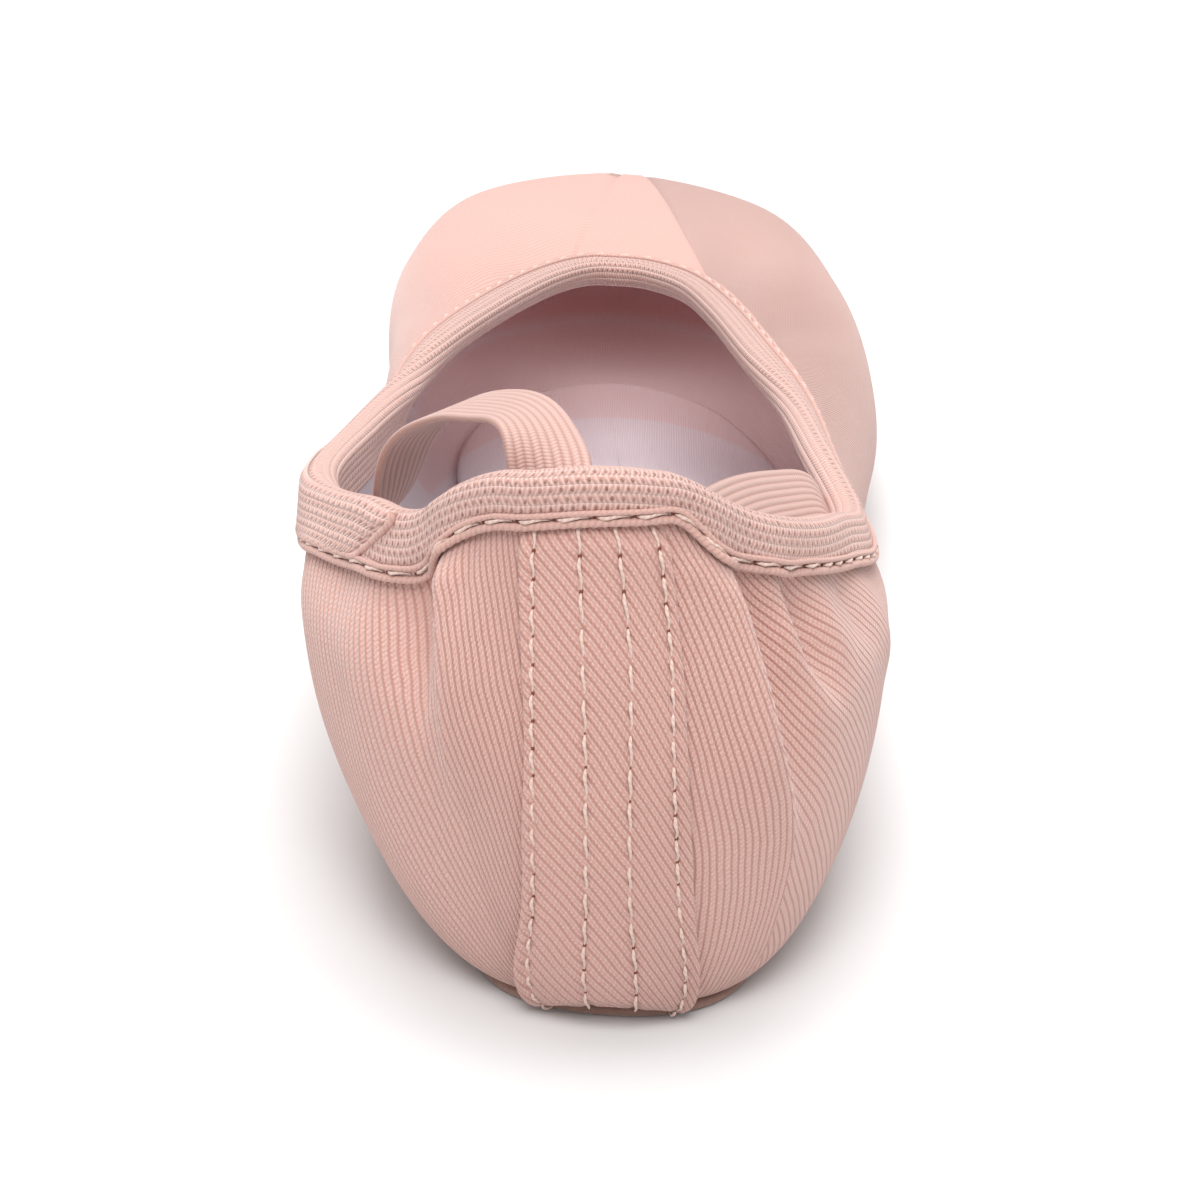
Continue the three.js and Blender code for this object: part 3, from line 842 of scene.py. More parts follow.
class SHOE_OT_upper(bpy.types.Operator):
    """Makes the canvas of the upper with its folds and toe panel, and the lining inside it"""

    bl_idname = "shoe.upper"
    bl_label = "Upper and Lining"

    ROWS, INNER_ROWS, HEEL_STEP, SIDE_STEP, CANVAS = 116, 36, 1 / 40, 1 / 14, 0.9
    RIDGE_FOLD, RIDGE_COLUMN, SIDE_REFERENCE = 3, 0.75, 26.0
    OUTER_SEAM, INNER_SEAM = 9.5, 10.5

    def execute(self, context):
        sizes, colours = finishes(context)
        last = Last(sizes)
        seams = self.OUTER_SEAM, self.INNER_SEAM
        panel_from, panel_to = ToePanel.PLACES
        heel = near_and_far(-3.0, -3.0, 3.0, panel_from, self.HEEL_STEP, self.SIDE_STEP)
        outer_part = np.linspace(panel_from, seams[0], 28)[:-1]
        panel_part = np.linspace(*seams, 25)[:-1]
        inner_part = np.linspace(seams[1], panel_to, 28)[:-1]
        rest = np.arange(panel_to, COUNT - 3.0 - 1e-9, self.SIDE_STEP)
        columns = np.concatenate([heel, outer_part, panel_part, inner_part, rest])
        share = np.linspace(0, 1, self.ROWS) ** 1.12
        outer, inner = ToePanel(last).edges(share)
        height = last.height(self.RIDGE_COLUMN)
        ridge_points = np.array(FOLDS[self.RIDGE_FOLD][3])
        ridge = np.interp(share * height, ridge_points[:, 1], ridge_points[:, 0])
        knots = (-3, 0.2, self.RIDGE_COLUMN, 1.9, panel_from, *seams, panel_to, COUNT - 3)
        places = np.stack([
            np.interp(columns, knots, (
                -3, 0.2, ridge[row], 1.9, panel_from, outer[row], inner[row], panel_to, COUNT - 3))
            for row in range(self.ROWS)
        ], -1)
        downs = share[None, :] * last.height(places)
        near = (columns[:, None] - np.array([seams])) / 0.5
        pressed = (0.1 * np.exp(-(((near - 0.2) / 0.12) ** 2)) - 0.22 * np.exp(-((near / 0.05) ** 2))).sum(1)
        pressed = pressed[:, None] * (1 - ramp(0.62, 0.74, share))[None, :]
        point, _ = last.at(places, downs, pressed)
        inner_share = np.linspace(1, 0, self.INNER_ROWS)
        inner_places = places[:, -1:] * inner_share + places[:, :1] * (1 - inner_share)
        back, _ = last.at(inner_places, inner_share[None, :] * last.height(inner_places), -self.CANVAS)
        spare = np.zeros((len(columns) + 1, self.INNER_ROWS + 1, 2))

        def with_inside(values):
            return np.concatenate([np.concatenate([values, values[:1]], 0), spare], 1)

        flat = self.flat_pattern(last, places, downs)
        rear = (columns >= 0) & (columns < self.RIDGE_COLUMN - 1e-6)
        between = (columns >= seams[0] - 1e-6) & (columns < seams[1] - 1e-6)
        side = (columns > 0) & (columns < TOE) & ~between
        wide = (len(columns), self.ROWS + self.INNER_ROWS)
        x, y = flat[..., 0], flat[..., 1]
        slanted = point[..., :2] @ np.array([[0.7, 0.7], [-0.7, 0.7]])
        parts = (side, self.ribs_outer(x, y)), (rear, self.ribs_rear(x, y)), (between, slanted)
        cloth = Cloth()
        cloth.add(
            np.concatenate([point, back], 1), {"Twill": with_inside(self.ribs_inner(x, y))}, (True, True),
            flip=True, face_maps=[
                (np.broadcast_to(chosen[:, None], wide), with_inside(values)) for chosen, values in parts],
        )
        material = canvas_material("pink_canvas", colours.canvas, sizes.rib / MM, 0.35)
        settled(cloth.make("upper_canvas", [material]), "canvas", "upper")
        self.make_lining(last, sizes, colours)
        return {"FINISHED"}

    def ribs_inner(self, x, y):
        """Ribs of the inner half, nearly upright and closer together where the cloth is gathered."""
        lean = math.radians(14)
        across = np.sign(x) * np.interp(np.abs(x), (0, 15, 19, 400), (0, 21.5, 25.6, 330))
        return np.stack([
            across * math.cos(lean) - y * math.sin(lean), x * math.sin(lean) + y * math.cos(lean)], -1)

    def ribs_outer(self, x, y):
        """Ribs of the outer half, flat at the top and steeper towards the sole."""
        deep = np.minimum(y, 45)
        slid = 2.45 * deep - 0.0525 * deep**2 + 0.000533 * deep**3 + 0.8 * (y - deep)
        return np.stack([(x - slid) * 0.64, (y + x) * 0.72], -1)

    def ribs_rear(self, x, y):
        """Ribs between the strip and the ridge, nearly upright."""
        deep = np.minimum(y, 41)
        return np.stack([(x - 0.83 * deep + 0.0101 * deep**2) * 0.92, y + x * 0.4], -1)

    def flat_pattern(self, last, places, downs):
        """Places of the cloth laid flat: x round the shoe from the back seam, y away from the top edge."""
        fine = np.arange(0, TOE + 0.02, 0.02)
        halves = []
        for side in (1, -1):
            top, low = (last.base(side * fine, down)[0] for down in (0.0, self.SIDE_REFERENCE))
            runs = np.linalg.norm(np.diff(top, axis=0), axis=1)
            low_runs = np.linalg.norm(np.diff(low, axis=0), axis=1)
            turn = running((low_runs - runs) / self.SIDE_REFERENCE)
            middle = (turn[1:] + turn[:-1]) / 2
            edge_x, edge_y = running(np.cos(middle) * runs), running(-np.sin(middle) * runs)
            halves.append((edge_x, edge_y, turn))
        signed = signed_place(places)
        values = []
        for side, (edge_x, edge_y, turn) in zip((1, -1), halves):
            at = np.clip(signed * side, 0, TOE)
            heading = np.interp(at, fine, turn)
            x = np.interp(at, fine, edge_x) + downs * np.sin(heading)
            y = np.interp(at, fine, edge_y) + downs * np.cos(heading)
            values.append(np.stack([x * side, y], -1))
        return np.where((signed >= 0)[..., None], values[0], values[1])

    def make_lining(self, last, sizes, colours):
        wall = sizes.wall / MM
        places = near_and_far(-3.0, -3.0, 3.0, COUNT - 3.0, 1 / 20, 1 / 10)
        share = np.linspace(0, 1, 54)
        rows = np.concatenate([share, share[::-2]])
        outs = np.concatenate([np.full(len(share), -wall), np.full(len(share[::-2]), -self.CANVAS - 0.1)])
        grid = np.repeat(places[:, None], len(rows), 1)
        downs = rows[None, :] * last.height(grid)
        point, _ = last.at(grid, downs, outs[None, :])
        along = np.append(places, places[0] + COUNT) * 22.0
        weave = np.stack(np.meshgrid(along, np.append(rows, rows[0]) * 62.0, indexing="ij"), -1)
        cloth = Cloth()
        cloth.add(point, {"Weave": weave}, (True, True))
        settled(cloth.make("upper_lining", [cotton_lining(colours)]), "lining")


class SHOE_OT_binding(bpy.types.Operator):
    """Makes the knitted tape over the top edge, its two cords, its stitches and its lapped end"""

    bl_idname = "shoe.binding"
    bl_label = "Binding Tape"

    FACE, ROLL, CORD, HEM, CREST_COLUMN = 1.1, 1.7, 0.3, 0.43, 21
    LAP_TOP, LAP_EDGE, LAP_SLANT, LAP_END, LAP_ROWS = -1.0, -1.17, 0.33, -3.6, 16
    LAP_CORD = 0.42
    INSIDE = ((-10, 5.0), (-6, 6.2), (-4, 5.8), (-2, 4.6), (0, 4.4), (2, 4.6), (4, 5.8), (6, 6.0), (10, 5.0))

    def profile(self, drop, inner_drop, wall):
        """Outer line of the tape's section, as (down, out), from its inside foot over the top."""
        inside = -wall - 0.25 - 0.9
        lines = [(down, inside) for down in np.linspace(inner_drop, 0.4, 14)]
        middle, wide = (0.3 + self.FACE + inside) / 2, (0.3 + self.FACE - inside) / 2
        for angle in np.linspace(np.pi, 0, 17)[1:-1]:
            lines.append((-self.ROLL * np.sin(angle) + 0.2, middle + wide * np.cos(angle)))
        for share in np.linspace(0, 1, 14):
            lines.append((0.4 + (drop - 1.75) * share, 0.3 + self.FACE * (1 - 0.35 * share**1.8)))
        lines += [(drop - 1.15, 0.95), (drop - 1.0, 0.84), (drop - 0.35, 0.5)]
        return np.array(lines)

    def execute(self, context):
        sizes, colours = finishes(context)
        last = Last(sizes)
        wall = sizes.wall / MM
        places = near_and_far(-3.2, -3.2, 3.2, COUNT - 3.2, 1 / 44, 1 / 18)
        drops, inner_drops = rounded(interpolate(TAPE_DROP, places), 9), interpolate(self.INSIDE, places)
        profiles = np.stack([self.profile(*drop, wall) for drop in zip(drops, inner_drops)])
        outer, _ = last.at(places[:, None], profiles[..., 0], profiles[..., 1])
        back_rows = np.array([
            (1.0, 0.06), (0.0, 0.12), (-0.35, -wall / 2), (0.0, -wall - 0.12), (4.2, -wall - 0.12)])
        back_downs = np.repeat(back_rows[None, :, 0], len(places), 0)
        back_downs[:, 0] = drops - 0.3
        back_downs[:, -1] = inner_drops
        back, _ = last.at(places[:, None], back_downs, back_rows[None, :, 1])
        crest = last.at(places, -0.8, -0.6)[0]
        along = self.stretched(np.append(places, places[0] + COUNT), np.concatenate([crest, crest[:1]]))
        spans = np.linalg.norm(np.diff(outer, axis=1), axis=2)
        up = np.concatenate([np.cumsum(spans[:, ::-1], 1)[:, ::-1], np.zeros((len(places), 1))], 1)
        unseen = np.zeros((len(places), len(back_rows) + 1))
        knit = np.concatenate([up + 0.3, unseen], 1)
        rolled = np.concatenate([up[:, self.CREST_COLUMN][:, None] - up, unseen], 1)
        maps = {"Knit": self.flat(along, knit), "Roll": self.flat(rolled, rolled)}
        cloth = Cloth()
        cloth.add(np.concatenate([outer, back], 1), maps, (True, True), flip=True)
        self.lapped_end(cloth, last)
        tape = tape_material("knitted_tape", colours.tape)
        settled(cloth.make("binding_tape", [tape]), "tape", "binding")
        self.cords(last, colours)
        return {"FINISHED"}

    def stretched(self, places, line):
        """Millimetres along the tape as it was knitted: it is pulled longer round the sides of the heel."""
        aside = np.abs(signed_place(places))
        pulled = 1 - 0.42 * ramp(1.0, 1.6, aside) * (1 - ramp(4.5, 7.0, aside))
        steps = np.diff(lengths_along(line)) * (pulled[1:] + pulled[:-1]) / 2
        return running(steps)

    def flat(self, first, second):
        """Map of the tape from its two measures, closed round the shoe."""
        second = np.concatenate([second, second[:1]], 0)
        if first.ndim == 1:
            first = np.repeat(first[:, None], second.shape[1], 1)
        else:
            first = np.concatenate([first, first[:1]])
        return np.stack([first, second], -1)

    def lap_edge(self, down, low):
        """Place of the lapped end's slanted edge at a depth."""
        return self.LAP_EDGE - self.LAP_SLANT * np.clip(down / low, 0, 1)

    def lapped_end(self, cloth, last):
        """The second layer where the tape's end lies over its start, with a slanted folded edge."""
        shares = np.linspace(0, 1, 90)
        rows = np.linspace(0, 1, self.LAP_ROWS)
        low = interpolate(TAPE_DROP, -1.56) - 1.3
        grid_share, grid_row = np.meshgrid(shares, rows, indexing="ij")
        edge = self.lap_edge(self.LAP_TOP + grid_row * (low - self.LAP_TOP), low)
        place = edge + (self.LAP_END - edge) * grid_share
        low_here = interpolate(TAPE_DROP, place) - 1.3
        down = self.LAP_TOP + grid_row * (low_here - self.LAP_TOP)
        bulge = 0.55 * ramp(0, 0.04, grid_share) * (1 - ramp(0.9, 1.0, grid_share))
        out = 0.3 + self.FACE * (1 - 0.35 * np.clip(down / (low_here + 1.3), 0, 1) ** 1.8) + bulge - 0.1
        out = np.where(down < 0.2, out - 0.45 * (0.2 - down) ** 1.3, out)
        point, _ = last.at(place, down, out)
        under, _ = last.at(place, down, out - 0.4)
        middle = self.LAP_ROWS // 2
        along = self.stretched(place[:, middle], point[:, middle])
        knit = np.stack([np.repeat(along[:, None], self.LAP_ROWS, 1), 5.6 - grid_row * 4.2], -1)
        both = np.concatenate([point, under[:, ::-1]], 1)
        uv = np.concatenate([knit, knit[:, ::-1], knit[:, :1]], 1)
        roll = np.concatenate([down, down[:, ::-1], down[:, :1]], 1) + 2.7
        beyond = np.stack([roll, roll], -1)
        cloth.add(both, {"Knit": uv, "Roll": beyond}, (False, True))

    def cords(self, last, colours):
        """The thin cord, the thick hem cord and the stitches in the groove between them."""
        fine = near_and_far(-3.4, -3.4, 3.4, COUNT - 3.4, 1 / 110, 1 / 60)
        drops = rounded(interpolate(TAPE_DROP, fine), 21)
        cloth = Cloth()
        rows = (
            (drops - 0.36, 0.78, self.HEM, 0.1, 6.2),
            (drops - 1.38, 1.14, self.CORD, 0.05, 4.0),
        )
        for downs, out, radius, lobe, turn in rows:
            line, normal = last.at(fine, downs, out)
            grid, _ = tube(line, normal, twisted(radius, lobe, turn), 10)
            along = lengths_along(np.concatenate([line, line[:1]]))
            cloth.add(grid, {"Thread": tube_map(along, 10, radius)}, (True, True))
        self.lapped_cord(cloth, last)
        cord = cord_material("tape_cord", tinted(colours.tape, 0.97, 0.94, 0.93))
        settled(cloth.make("binding_cords", [cord]), "tape")
        stitches, hole_shades = Cloth(), Cloth()
        stitch_places = np.concatenate([fine, fine[:1] + COUNT])
        stitch_downs = np.append(drops, drops[0]) - 0.93
        stitch_row(stitches, hole_shades, stitch_places, stitch_downs, 1.04, 4.0, 0.19, last, 0.8)
        thread = sewing_thread(colours)
        settled(stitches.make("binding_stitches", [thread]), "tape")
        # Dark cups of painted shade in the needle holes.
        settled(hole_shades.make("binding_hole_shades", [needle_hole_shade(colours)]), "tape")

    def lapped_cord(self, cloth, last):
        """The cord along the lapped end's slanted edge and its hem."""
        share = np.linspace(0, 1, 60)
        low = interpolate(TAPE_DROP, -1.5) - 1.35
        diagonal_downs = self.LAP_TOP + share * (low - self.LAP_TOP)
        diagonal = np.stack([self.lap_edge(diagonal_downs, low), diagonal_downs], -1)
        sides = np.linspace(-1.52, self.LAP_END, 240)
        bottom = np.stack([sides, interpolate(TAPE_DROP, sides) - 1.35], -1)
        route = np.concatenate([diagonal, bottom])
        run = lengths_along(route * (20, 1))
        even = np.linspace(0, run[-1], 420)
        place, down = (np.interp(even, run, route[:, axis]) for axis in (0, 1))
        place, down = (
            np.convolve(np.pad(values, 4, "edge"), np.ones(9) / 9, "valid") for values in (place, down))
        line, normal = last.at(place, down, 1.55 - 0.35 * ramp(0, 4, down))
        grid, along = tube(line, normal, twisted(self.LAP_CORD, 0.12, 3.4), 10)
        cloth.add(grid, {"Thread": tube_map(along, 10, self.LAP_CORD)}, (False, True))


class SHOE_OT_heel_strip(bpy.types.Operator):
    """Makes the strip over the back seam, with folded edges and four rows of stitches"""

    bl_idname = "shoe.heel_strip"
    bl_label = "Heel Strip"

    THICK, GAP, TOP, FOOT = 1.05, 0.15, 3.0, 58.6

    def place(self, across, down):
        """The place on the strip at each share of its width."""
        rows = np.array(STRIP)
        edges = np.stack([smooth_line(rows[:, 0], column, down) for column in rows[:, 1:].T], -1)
        flat = edges.reshape(-1, len(STRIP_ACROSS))
        shares = across.reshape(-1)
        values = np.empty(len(shares))
        for span in range(len(STRIP_ACROSS) - 1):
            start, end = STRIP_ACROSS[span], STRIP_ACROSS[span + 1]
            chosen = (shares >= start) & (shares <= end)
            part = (shares[chosen] - start) / (end - start)
            values[chosen] = flat[chosen, span] * (1 - part) + flat[chosen, span + 1] * part
        return values.reshape(across.shape)

    def execute(self, context):
        sizes, colours = finishes(context)
        last = Last(sizes)
        across, share = np.linspace(0, 1, 80), np.linspace(0, 1, 190)
        grid_across, grid_share = np.meshgrid(across, share, indexing="ij")
        down = self.FOOT + (self.TOP - self.FOOT) * grid_share
        place = self.place(grid_across, down)
        flat_point, normal = last.base(place, down)
        side = np.concatenate([
            np.zeros((1, len(share))), np.cumsum(np.linalg.norm(np.diff(flat_point, axis=0), axis=2), 0)])
        wide = side[-1]
        edge = np.minimum(side, wide - side)
        along_mm = self.FOOT - down
        out = self.GAP + self.THICK * ramp(-0.05, 0.22, edge) * (0.35 + 0.65 * ramp(0, 2.5, along_mm))
        out = out + 0.16 * np.exp(-(((edge - 0.85) / 0.45) ** 2))
        for line, pitch in zip(STRIP_ACROSS[1:5], self.pitches(sizes)):
            away = np.abs(grid_across - line) * wide
            count = int(along_mm.max() / pitch)
            pull = 0.5 + 0.5 * np.cos(2 * np.pi * (along_mm[:, ::-1] / along_mm.max() * count - 0.1))
            out = out - (0.12 + 0.16 * pull**3) * np.exp(-((away / 0.45) ** 2))
        out = out + 0.08 * np.sin(along_mm * 0.31 + grid_across * 3)
        out = out * self.thinned(down)
        point = flat_point + normal * out[..., None]
        back = flat_point + normal * 0.05
        lean = math.radians(56)
        centred = side - wide / 2
        twill = np.stack([
            centred * math.sin(lean) + along_mm * math.cos(lean),
            centred * math.cos(lean) - along_mm * math.sin(lean)], -1)
        cloth = Cloth()
        front = np.concatenate([point, back[::-1]], 0)
        maps = np.concatenate([twill, twill[::-1], twill[:1]], 0)
        cloth.add(front, {"Twill": maps}, (True, False))
        material = canvas_material("strip_canvas", colours.canvas, sizes.rib / MM, 0.55)
        settled(cloth.make("heel_strip_cloth", [material]), "canvas", "heel_strip")
        self.stitches(last, sizes, colours)
        return {"FINISHED"}

    def thinned(self, down):
        """Share of the strip's height above the cloth, less where it goes under the tape."""
        return 0.15 + 0.85 * ramp(3.9, 6.4, down)

    def pitches(self, sizes):
        """The outer rows are sewn with shorter stitches than the inner ones."""
        short, long = sizes.stitch / MM * 0.87, sizes.stitch / MM * 1.13
        return short, long, long, short

    def stitches(self, last, sizes, colours):
        threads, hole_shades = Cloth(), Cloth()
        downs = np.linspace(self.TOP + 0.6, self.FOOT - 0.3, 240)
        out = (self.GAP + self.THICK - 0.08) * self.thinned(downs)
        for line, pitch in zip(STRIP_ACROSS[1:5], self.pitches(sizes)):
            place = self.place(np.full(len(downs), line), downs)
            stitch_row(threads, hole_shades, place, downs, out, pitch, 0.18, last)
        thread = sewing_thread(colours)
        settled(threads.make("heel_stitches", [thread]), "canvas")
        # Dark cups of painted shade in the needle holes.
        settled(hole_shades.make("heel_hole_shades", [needle_hole_shade(colours)]), "canvas")


class SHOE_OT_straps(bpy.types.Operator):
    """Makes the two ribbed elastics sewn inside the heel"""

    bl_idname = "shoe.straps"
    bl_label = "Elastic Straps"

    THICK, SLACK, STEPS, RIBS, SOFTEN = 1.0, 1.1, 150, 9, 27

    def sewn(self, last, wall, place, down):
        on_tape = 1.5 if down < 7.4 else 0.0
        out = -(wall + 0.3 + on_tape + self.THICK / 2 + self.SLACK)
        middle, _ = last.base(place, down, out)
        beside = last.base(place + 0.02, down)[0] - last.base(place - 0.02, down)[0]
        return np.concatenate([middle, unit(beside)])

    def curve(self, rows):
        """Even points on a smooth line through rows."""
        padded = np.concatenate([2 * rows[:1] - rows[1:2], rows, 2 * rows[-1:] - rows[-2:-1]])
        parts = []
        for index in range(1, len(padded) - 2):
            a, b, c, d = padded[index - 1:index + 3]
            t = np.linspace(0, 1, 24, endpoint=False)[:, None]
            parts.append((2 * b + (c - a) * t + (2 * a - 5 * b + 4 * c - d) * t**2
                          + (3 * b - a - 3 * c + d) * t**3) / 2)
        line = np.concatenate([*parts, rows[-1:]])
        run = lengths_along(line[:, :3])
        even = np.linspace(0, run[-1], self.STEPS)
        rows = np.stack([np.interp(even, run, line[:, axis]) for axis in range(6)], -1)
        spread = np.hanning(self.SOFTEN)
        padded = np.pad(rows, ((self.SOFTEN // 2,) * 2, (0, 0)), "reflect", reflect_type="odd")
        rows = np.stack([
            np.convolve(column, spread / spread.sum(), "valid") for column in padded.T], -1)
        return rows, even

    def execute(self, context):
        sizes, colours = finishes(context)
        last, wall = Last(sizes), sizes.wall / MM
        material = elastic_material("ribbed_elastic", colours.elastic)
        for name, strap in STRAPS.items():
            side, back = (
                [self.sewn(last, wall, strap[end + "_place"], down) for down in strap[end + "_down"]]
                for end in ("side", "back"))
            first = np.array(strap["loop"][0][3:])
            side = [np.concatenate([row[:3], row[3:] * (-1 if row[3:] @ first < 0 else 1)]) for row in side]
            line, along = self.curve(np.array([*side, *strap["loop"], *back], float))
            self.band(name, line, along, sizes.strap_width / MM, material)
        return {"FINISHED"}

    def band(self, name, line, along, width, material):
        middle = line[:, :3]
        tangent = unit(np.gradient(middle, axis=0))
        across = line[:, 3:] - tangent * np.einsum("ij,ij->i", line[:, 3:], tangent)[:, None]
        across = unit(across)
        thick = np.cross(tangent, across)
        share = np.linspace(-1, 1, self.RIBS * 5 + 1)
        ribbed = np.abs(np.sin((share + 1) / 2 * self.RIBS * np.pi)) ** 0.8
        edge = np.sqrt(np.maximum(0, 1 - np.abs(share) ** 14))
        half = (0.36 + 0.09 * ribbed) * (0.35 + 0.65 * edge)
        profile = np.concatenate([
            np.stack([share, half], -1), np.stack([share, -half], -1)[::-1]])
        profile[:, 0] *= width / 2
        points = (middle[:, None] + across[:, None] * profile[None, :, 0, None]
                  + thick[:, None] * profile[None, :, 1, None])
        u = np.append(profile[:, 0], profile[0, 0]) + width / 2
        band = np.stack(np.meshgrid(along, u, indexing="ij")[::-1], -1)
        cloth = Cloth()
        cloth.add(points, {"Band": band}, (False, True), flip=True)
        half_count = len(share)
        for end, turned in ((0, False), (-1, True)):
            cap = np.stack([points[end, :half_count], points[end, half_count:][::-1]], 0)
            maps = np.stack([band[end, :half_count], band[end, :half_count]], 0)
            cloth.add(cap, {"Band": maps}, flip=turned)
        settled(cloth.make(name + "_band", [material]), "elastic", name)


class SHOE_OT_soles(bpy.types.Operator):
    """Makes the suede sole and the cotton insole"""

    bl_idname = "shoe.soles"
    bl_label = "Sole and Insole"

    LIP, INSET, INSOLE_RISE, INSOLE_THICK = 0.5, 1.2, 3.5, 1.1

    def outline(self, last, place, lip):
        step = 0.01
        point = last.corner("sole", place)
        run = unit((last.corner("sole", place + step) - last.corner("sole", place - step)) * (1, 1, 0))
        moved = point + np.stack([run[..., 1], -run[..., 0], 0 * run[..., 0]], -1) * lip
        moved[..., 2] = 0
        moved[..., 0] += last.LEAN_START
        return moved

    def plate(self, last, lip, rise, ring_shares):
        """A plate of nested outlines, its edge rounded, following the arch and the toe spring."""
        places = np.linspace(0, COUNT, 360, endpoint=False)
        edge = self.outline(last, places, lip)
        y = edge[:, 1]
        spine_y = np.clip(y, y.min() + 16, y.max() - 22)
        mirrored = edge[(-np.arange(len(places))) % len(places)]
        spine = (edge + mirrored) / 2
        spine[:, 1] = spine_y
        rows = []
        for share, lift, inward in ring_shares:
            point = edge + (spine - edge) * share
            point = point + unit(spine - edge) * inward
            point[:, 2] = last.sole_height(point[:, 1]) + rise + lift
            rows.append(point)
        return np.stack(rows, 0)

    def execute(self, context):
        sizes, colours = finishes(context)
        last = Last(sizes)
        thick = last.SOLE_THICK
        inner = [(share, 0.0, 0.6) for share in np.linspace(0.98, 0.02, 24)]
        edge = [
            (0, 0.12, 0.28), (0, 0.35, 0.08), (0, 0.65, 0.0), (0, 0.95, 0.08), (0, 1.18, 0.28),
            (0, thick, 0.6),
        ]
        top = [(share, thick, 0.6) for share in np.linspace(0.06, 0.98, 16)]
        rings = self.plate(last, self.LIP, 0.0, inner + edge + top)
        settled(self.slab("sole_suede", rings, suede_material("suede", colours.suede)), "suede", "sole")
        low = [(share, 0.0, 0.4) for share in np.linspace(0.98, 0.05, 10)]
        rim = [(0, 0.15, 0.15), (0, 0.55, 0.0), (0, 0.95, 0.12)]
        high = [(share, self.INSOLE_THICK, 0.5) for share in np.linspace(0.02, 0.98, 24)]
        rings = self.plate(last, -self.INSET, self.INSOLE_RISE, low + rim + high)
        settled(self.slab("insole_lining", rings, cotton_lining(colours)), "lining", "insole")
        return {"FINISHED"}

    def slab(self, name, rings, material):
        flat = rings[..., :2]
        cloth = Cloth()
        cloth.add(rings, {"Weave": np.concatenate([flat, flat[:, :1]], 1)}, (False, True))
        return cloth.make(name, [material])


class StageSettings(bpy.types.PropertyGroup):
    """The camera, the floor and the studio light."""

    heading: angle_setting("Heading", "Camera turned to the left", 0.296)
    pitch: angle_setting("Pitch", "Camera tipped down", 24.212)
    roll: angle_setting("Roll", "Camera rolled", 2.911)
    place: bpy.props.FloatVectorProperty(
        name="Place", description="Where the camera stands", default=(-0.0007, -0.323, 0.143),
        subtype="TRANSLATION")
    lens: number_setting("Lens", "Focal length in millimetres", 69.96)
    exposure: number_setting("Exposure", "Stops added to the picture", 0.5)
    world: number_setting("World", "Strength of the even light", 0.46)
    key: number_setting("Key", "Power of the large lamp", 13.5)
    fill: number_setting("Fill", "Power of the lamp by the camera", 9.0)
    through: number_setting("Through", "Power of the light that thin cloth lets into the toe", 0.0032)


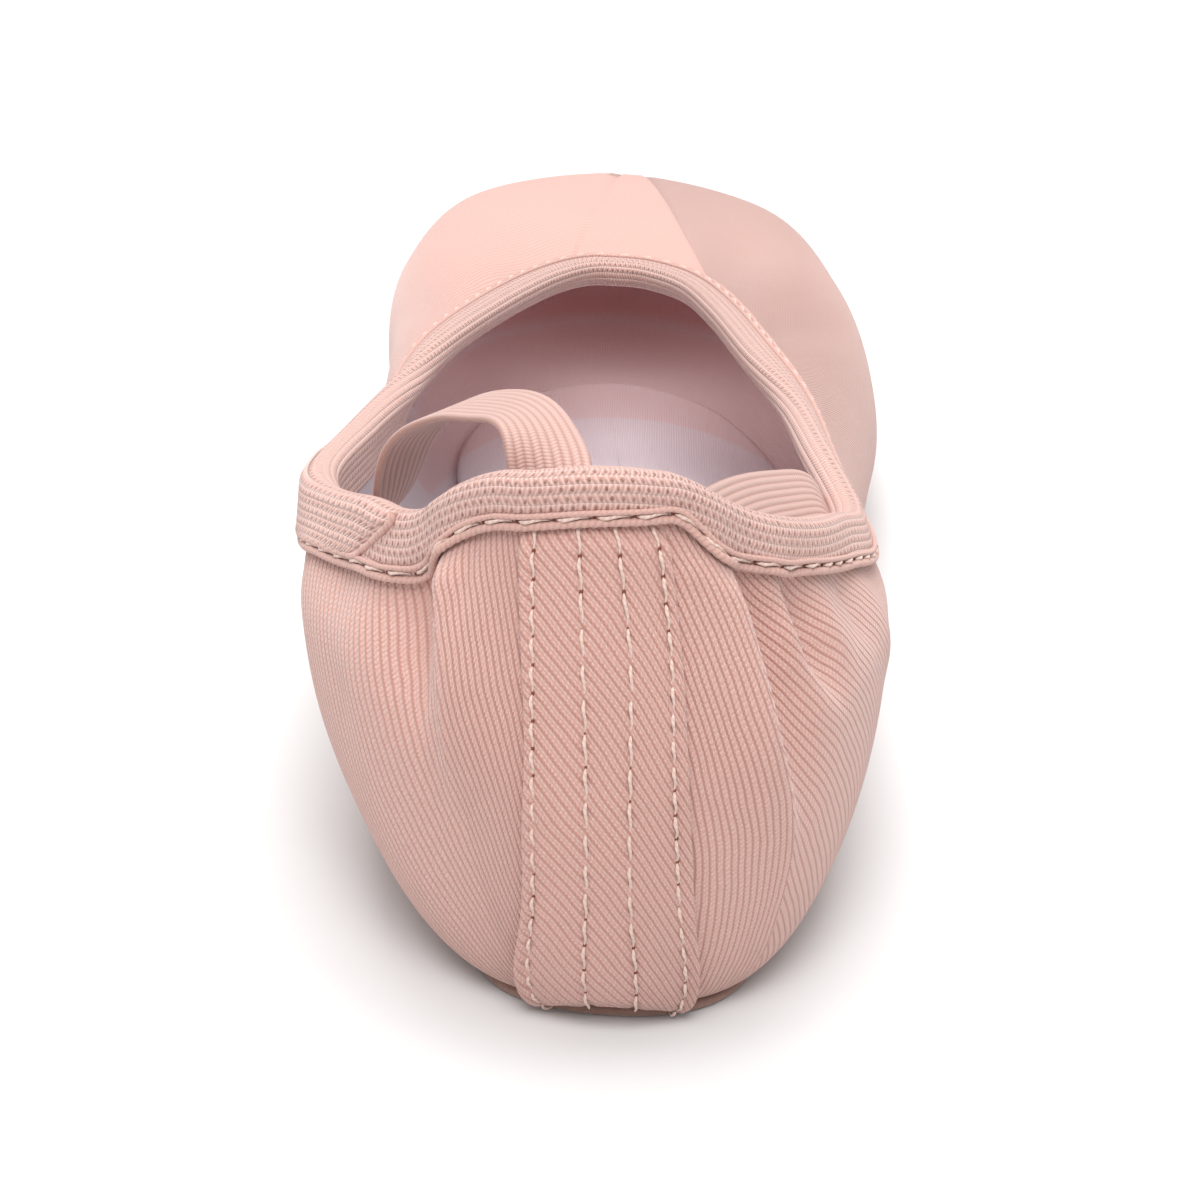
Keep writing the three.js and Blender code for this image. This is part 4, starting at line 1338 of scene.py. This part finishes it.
class SHOE_OT_stage(bpy.types.Operator):
    """Makes the pale floor, the soft studio light and the camera"""

    bl_idname = "shoe.stage"
    bl_label = "Floor, Light and Camera"

    FLOOR_SIDE = 6.0

    def lamp(self, name, place, aim, size, power):
        data = bpy.data.lights.new(name, "AREA")
        data.size, data.energy = size, power
        lamp = bpy.data.objects.new(name, data)
        lamp.location = place
        lamp.rotation_euler = (Vector(aim) - Vector(place)).to_track_quat("-Z", "Y").to_euler()
        bpy.context.scene.collection.objects.link(lamp)
        return lamp

    def execute(self, context):
        scene, stage = context.scene, context.scene.shoe_stage
        mesh = bpy.data.meshes.new("floor")
        side = self.FLOOR_SIDE
        corners = [(-side, -side, 0), (side, -side, 0), (side, side, 0), (-side, side, 0)]
        mesh.from_pydata(corners, [], [(0, 1, 2, 3)])
        floor = bpy.data.objects.new("floor", mesh)
        scene.collection.objects.link(floor)
        paper = Shader("floor_paper", 0.9, specular=0.1)
        paper.surface.inputs["Base Color"].default_value = (0.68, 0.68, 0.68, 1)
        mesh.materials.append(paper.material)
        world = bpy.data.worlds.new("studio")
        world.use_nodes = True
        sky = world.node_tree.nodes["Background"]
        sky.inputs["Color"].default_value = (1.0, 1.0, 1.0, 1)
        sky.inputs["Strength"].default_value = stage.world
        scene.world = world
        self.lamp("key_light", (-0.05, 0.3, 1.5), (0, -0.02, 0.02), 1.0, stage.key)
        self.lamp("fill_light", (-0.05, -0.75, 1.2), (0, -0.05, 0.03), 0.7, stage.fill)
        # Two lamps stand for the light that comes through the thin cloth into the toe.
        down = self.lamp("toe_light_down", (0, 0.068, 0.027), (0, 0.058, 0), 0.035, stage.through)
        up = self.lamp("toe_light_up", (0, 0.064, 0.012), (0, 0.066, 0.05), 0.03, stage.through * 1.1)
        for lamp in (down, up):
            lamp.visible_camera = False
        data = bpy.data.cameras.new("camera")
        data.sensor_width, data.lens = 36.0, stage.lens
        data.clip_start, data.clip_end = 0.01, 100.0
        camera = bpy.data.objects.new("camera", data)
        camera.location = stage.place
        turned = Euler((math.pi / 2 - stage.pitch, 0, stage.heading)).to_quaternion()
        rolled = Euler((0, 0, stage.roll)).to_quaternion()
        camera.rotation_euler = (turned @ rolled).to_euler()
        scene.collection.objects.link(camera)
        scene.camera = camera
        scene.view_settings.view_transform = "Standard"
        scene.view_settings.exposure = stage.exposure
        return {"FINISHED"}


class SHOE_PT_sidebar(bpy.types.Panel):
    """Lists the shoe's pieces in the sidebar."""

    bl_idname = "SHOE_PT_sidebar"
    bl_label = "Ballet Shoe"
    bl_space_type = "VIEW_3D"
    bl_region_type = "UI"
    bl_category = "Ballet Shoe"

    def draw(self, context):
        for group in (context.scene.shoe_sizes, context.scene.shoe_colours, context.scene.shoe_stage):
            for name in group.__annotations__:
                self.layout.prop(group, name)
        for step in STEPS:
            self.layout.operator(step.bl_idname)


STEPS = (SHOE_OT_stage, SHOE_OT_upper, SHOE_OT_binding, SHOE_OT_heel_strip, SHOE_OT_straps, SHOE_OT_soles)
GROUPS = {"shoe_sizes": ShoeSizes, "shoe_colours": ShoeColours, "shoe_stage": StageSettings}


def register():
    for group in GROUPS.values():
        bpy.utils.register_class(group)
    for name, group in GROUPS.items():
        setattr(bpy.types.Scene, name, bpy.props.PointerProperty(type=group))
    for step in (*STEPS, SHOE_PT_sidebar):
        bpy.utils.register_class(step)


def unregister():
    for step in (SHOE_PT_sidebar, *reversed(STEPS)):
        bpy.utils.unregister_class(step)
    for name, group in reversed(GROUPS.items()):
        delattr(bpy.types.Scene, name)
        bpy.utils.unregister_class(group)


def main():
    register()
    for step in STEPS:
        group, name = step.bl_idname.split(".")
        getattr(getattr(bpy.ops, group), name)()
    bpy.context.view_layer.update()


if __name__ == "__main__":
    main()
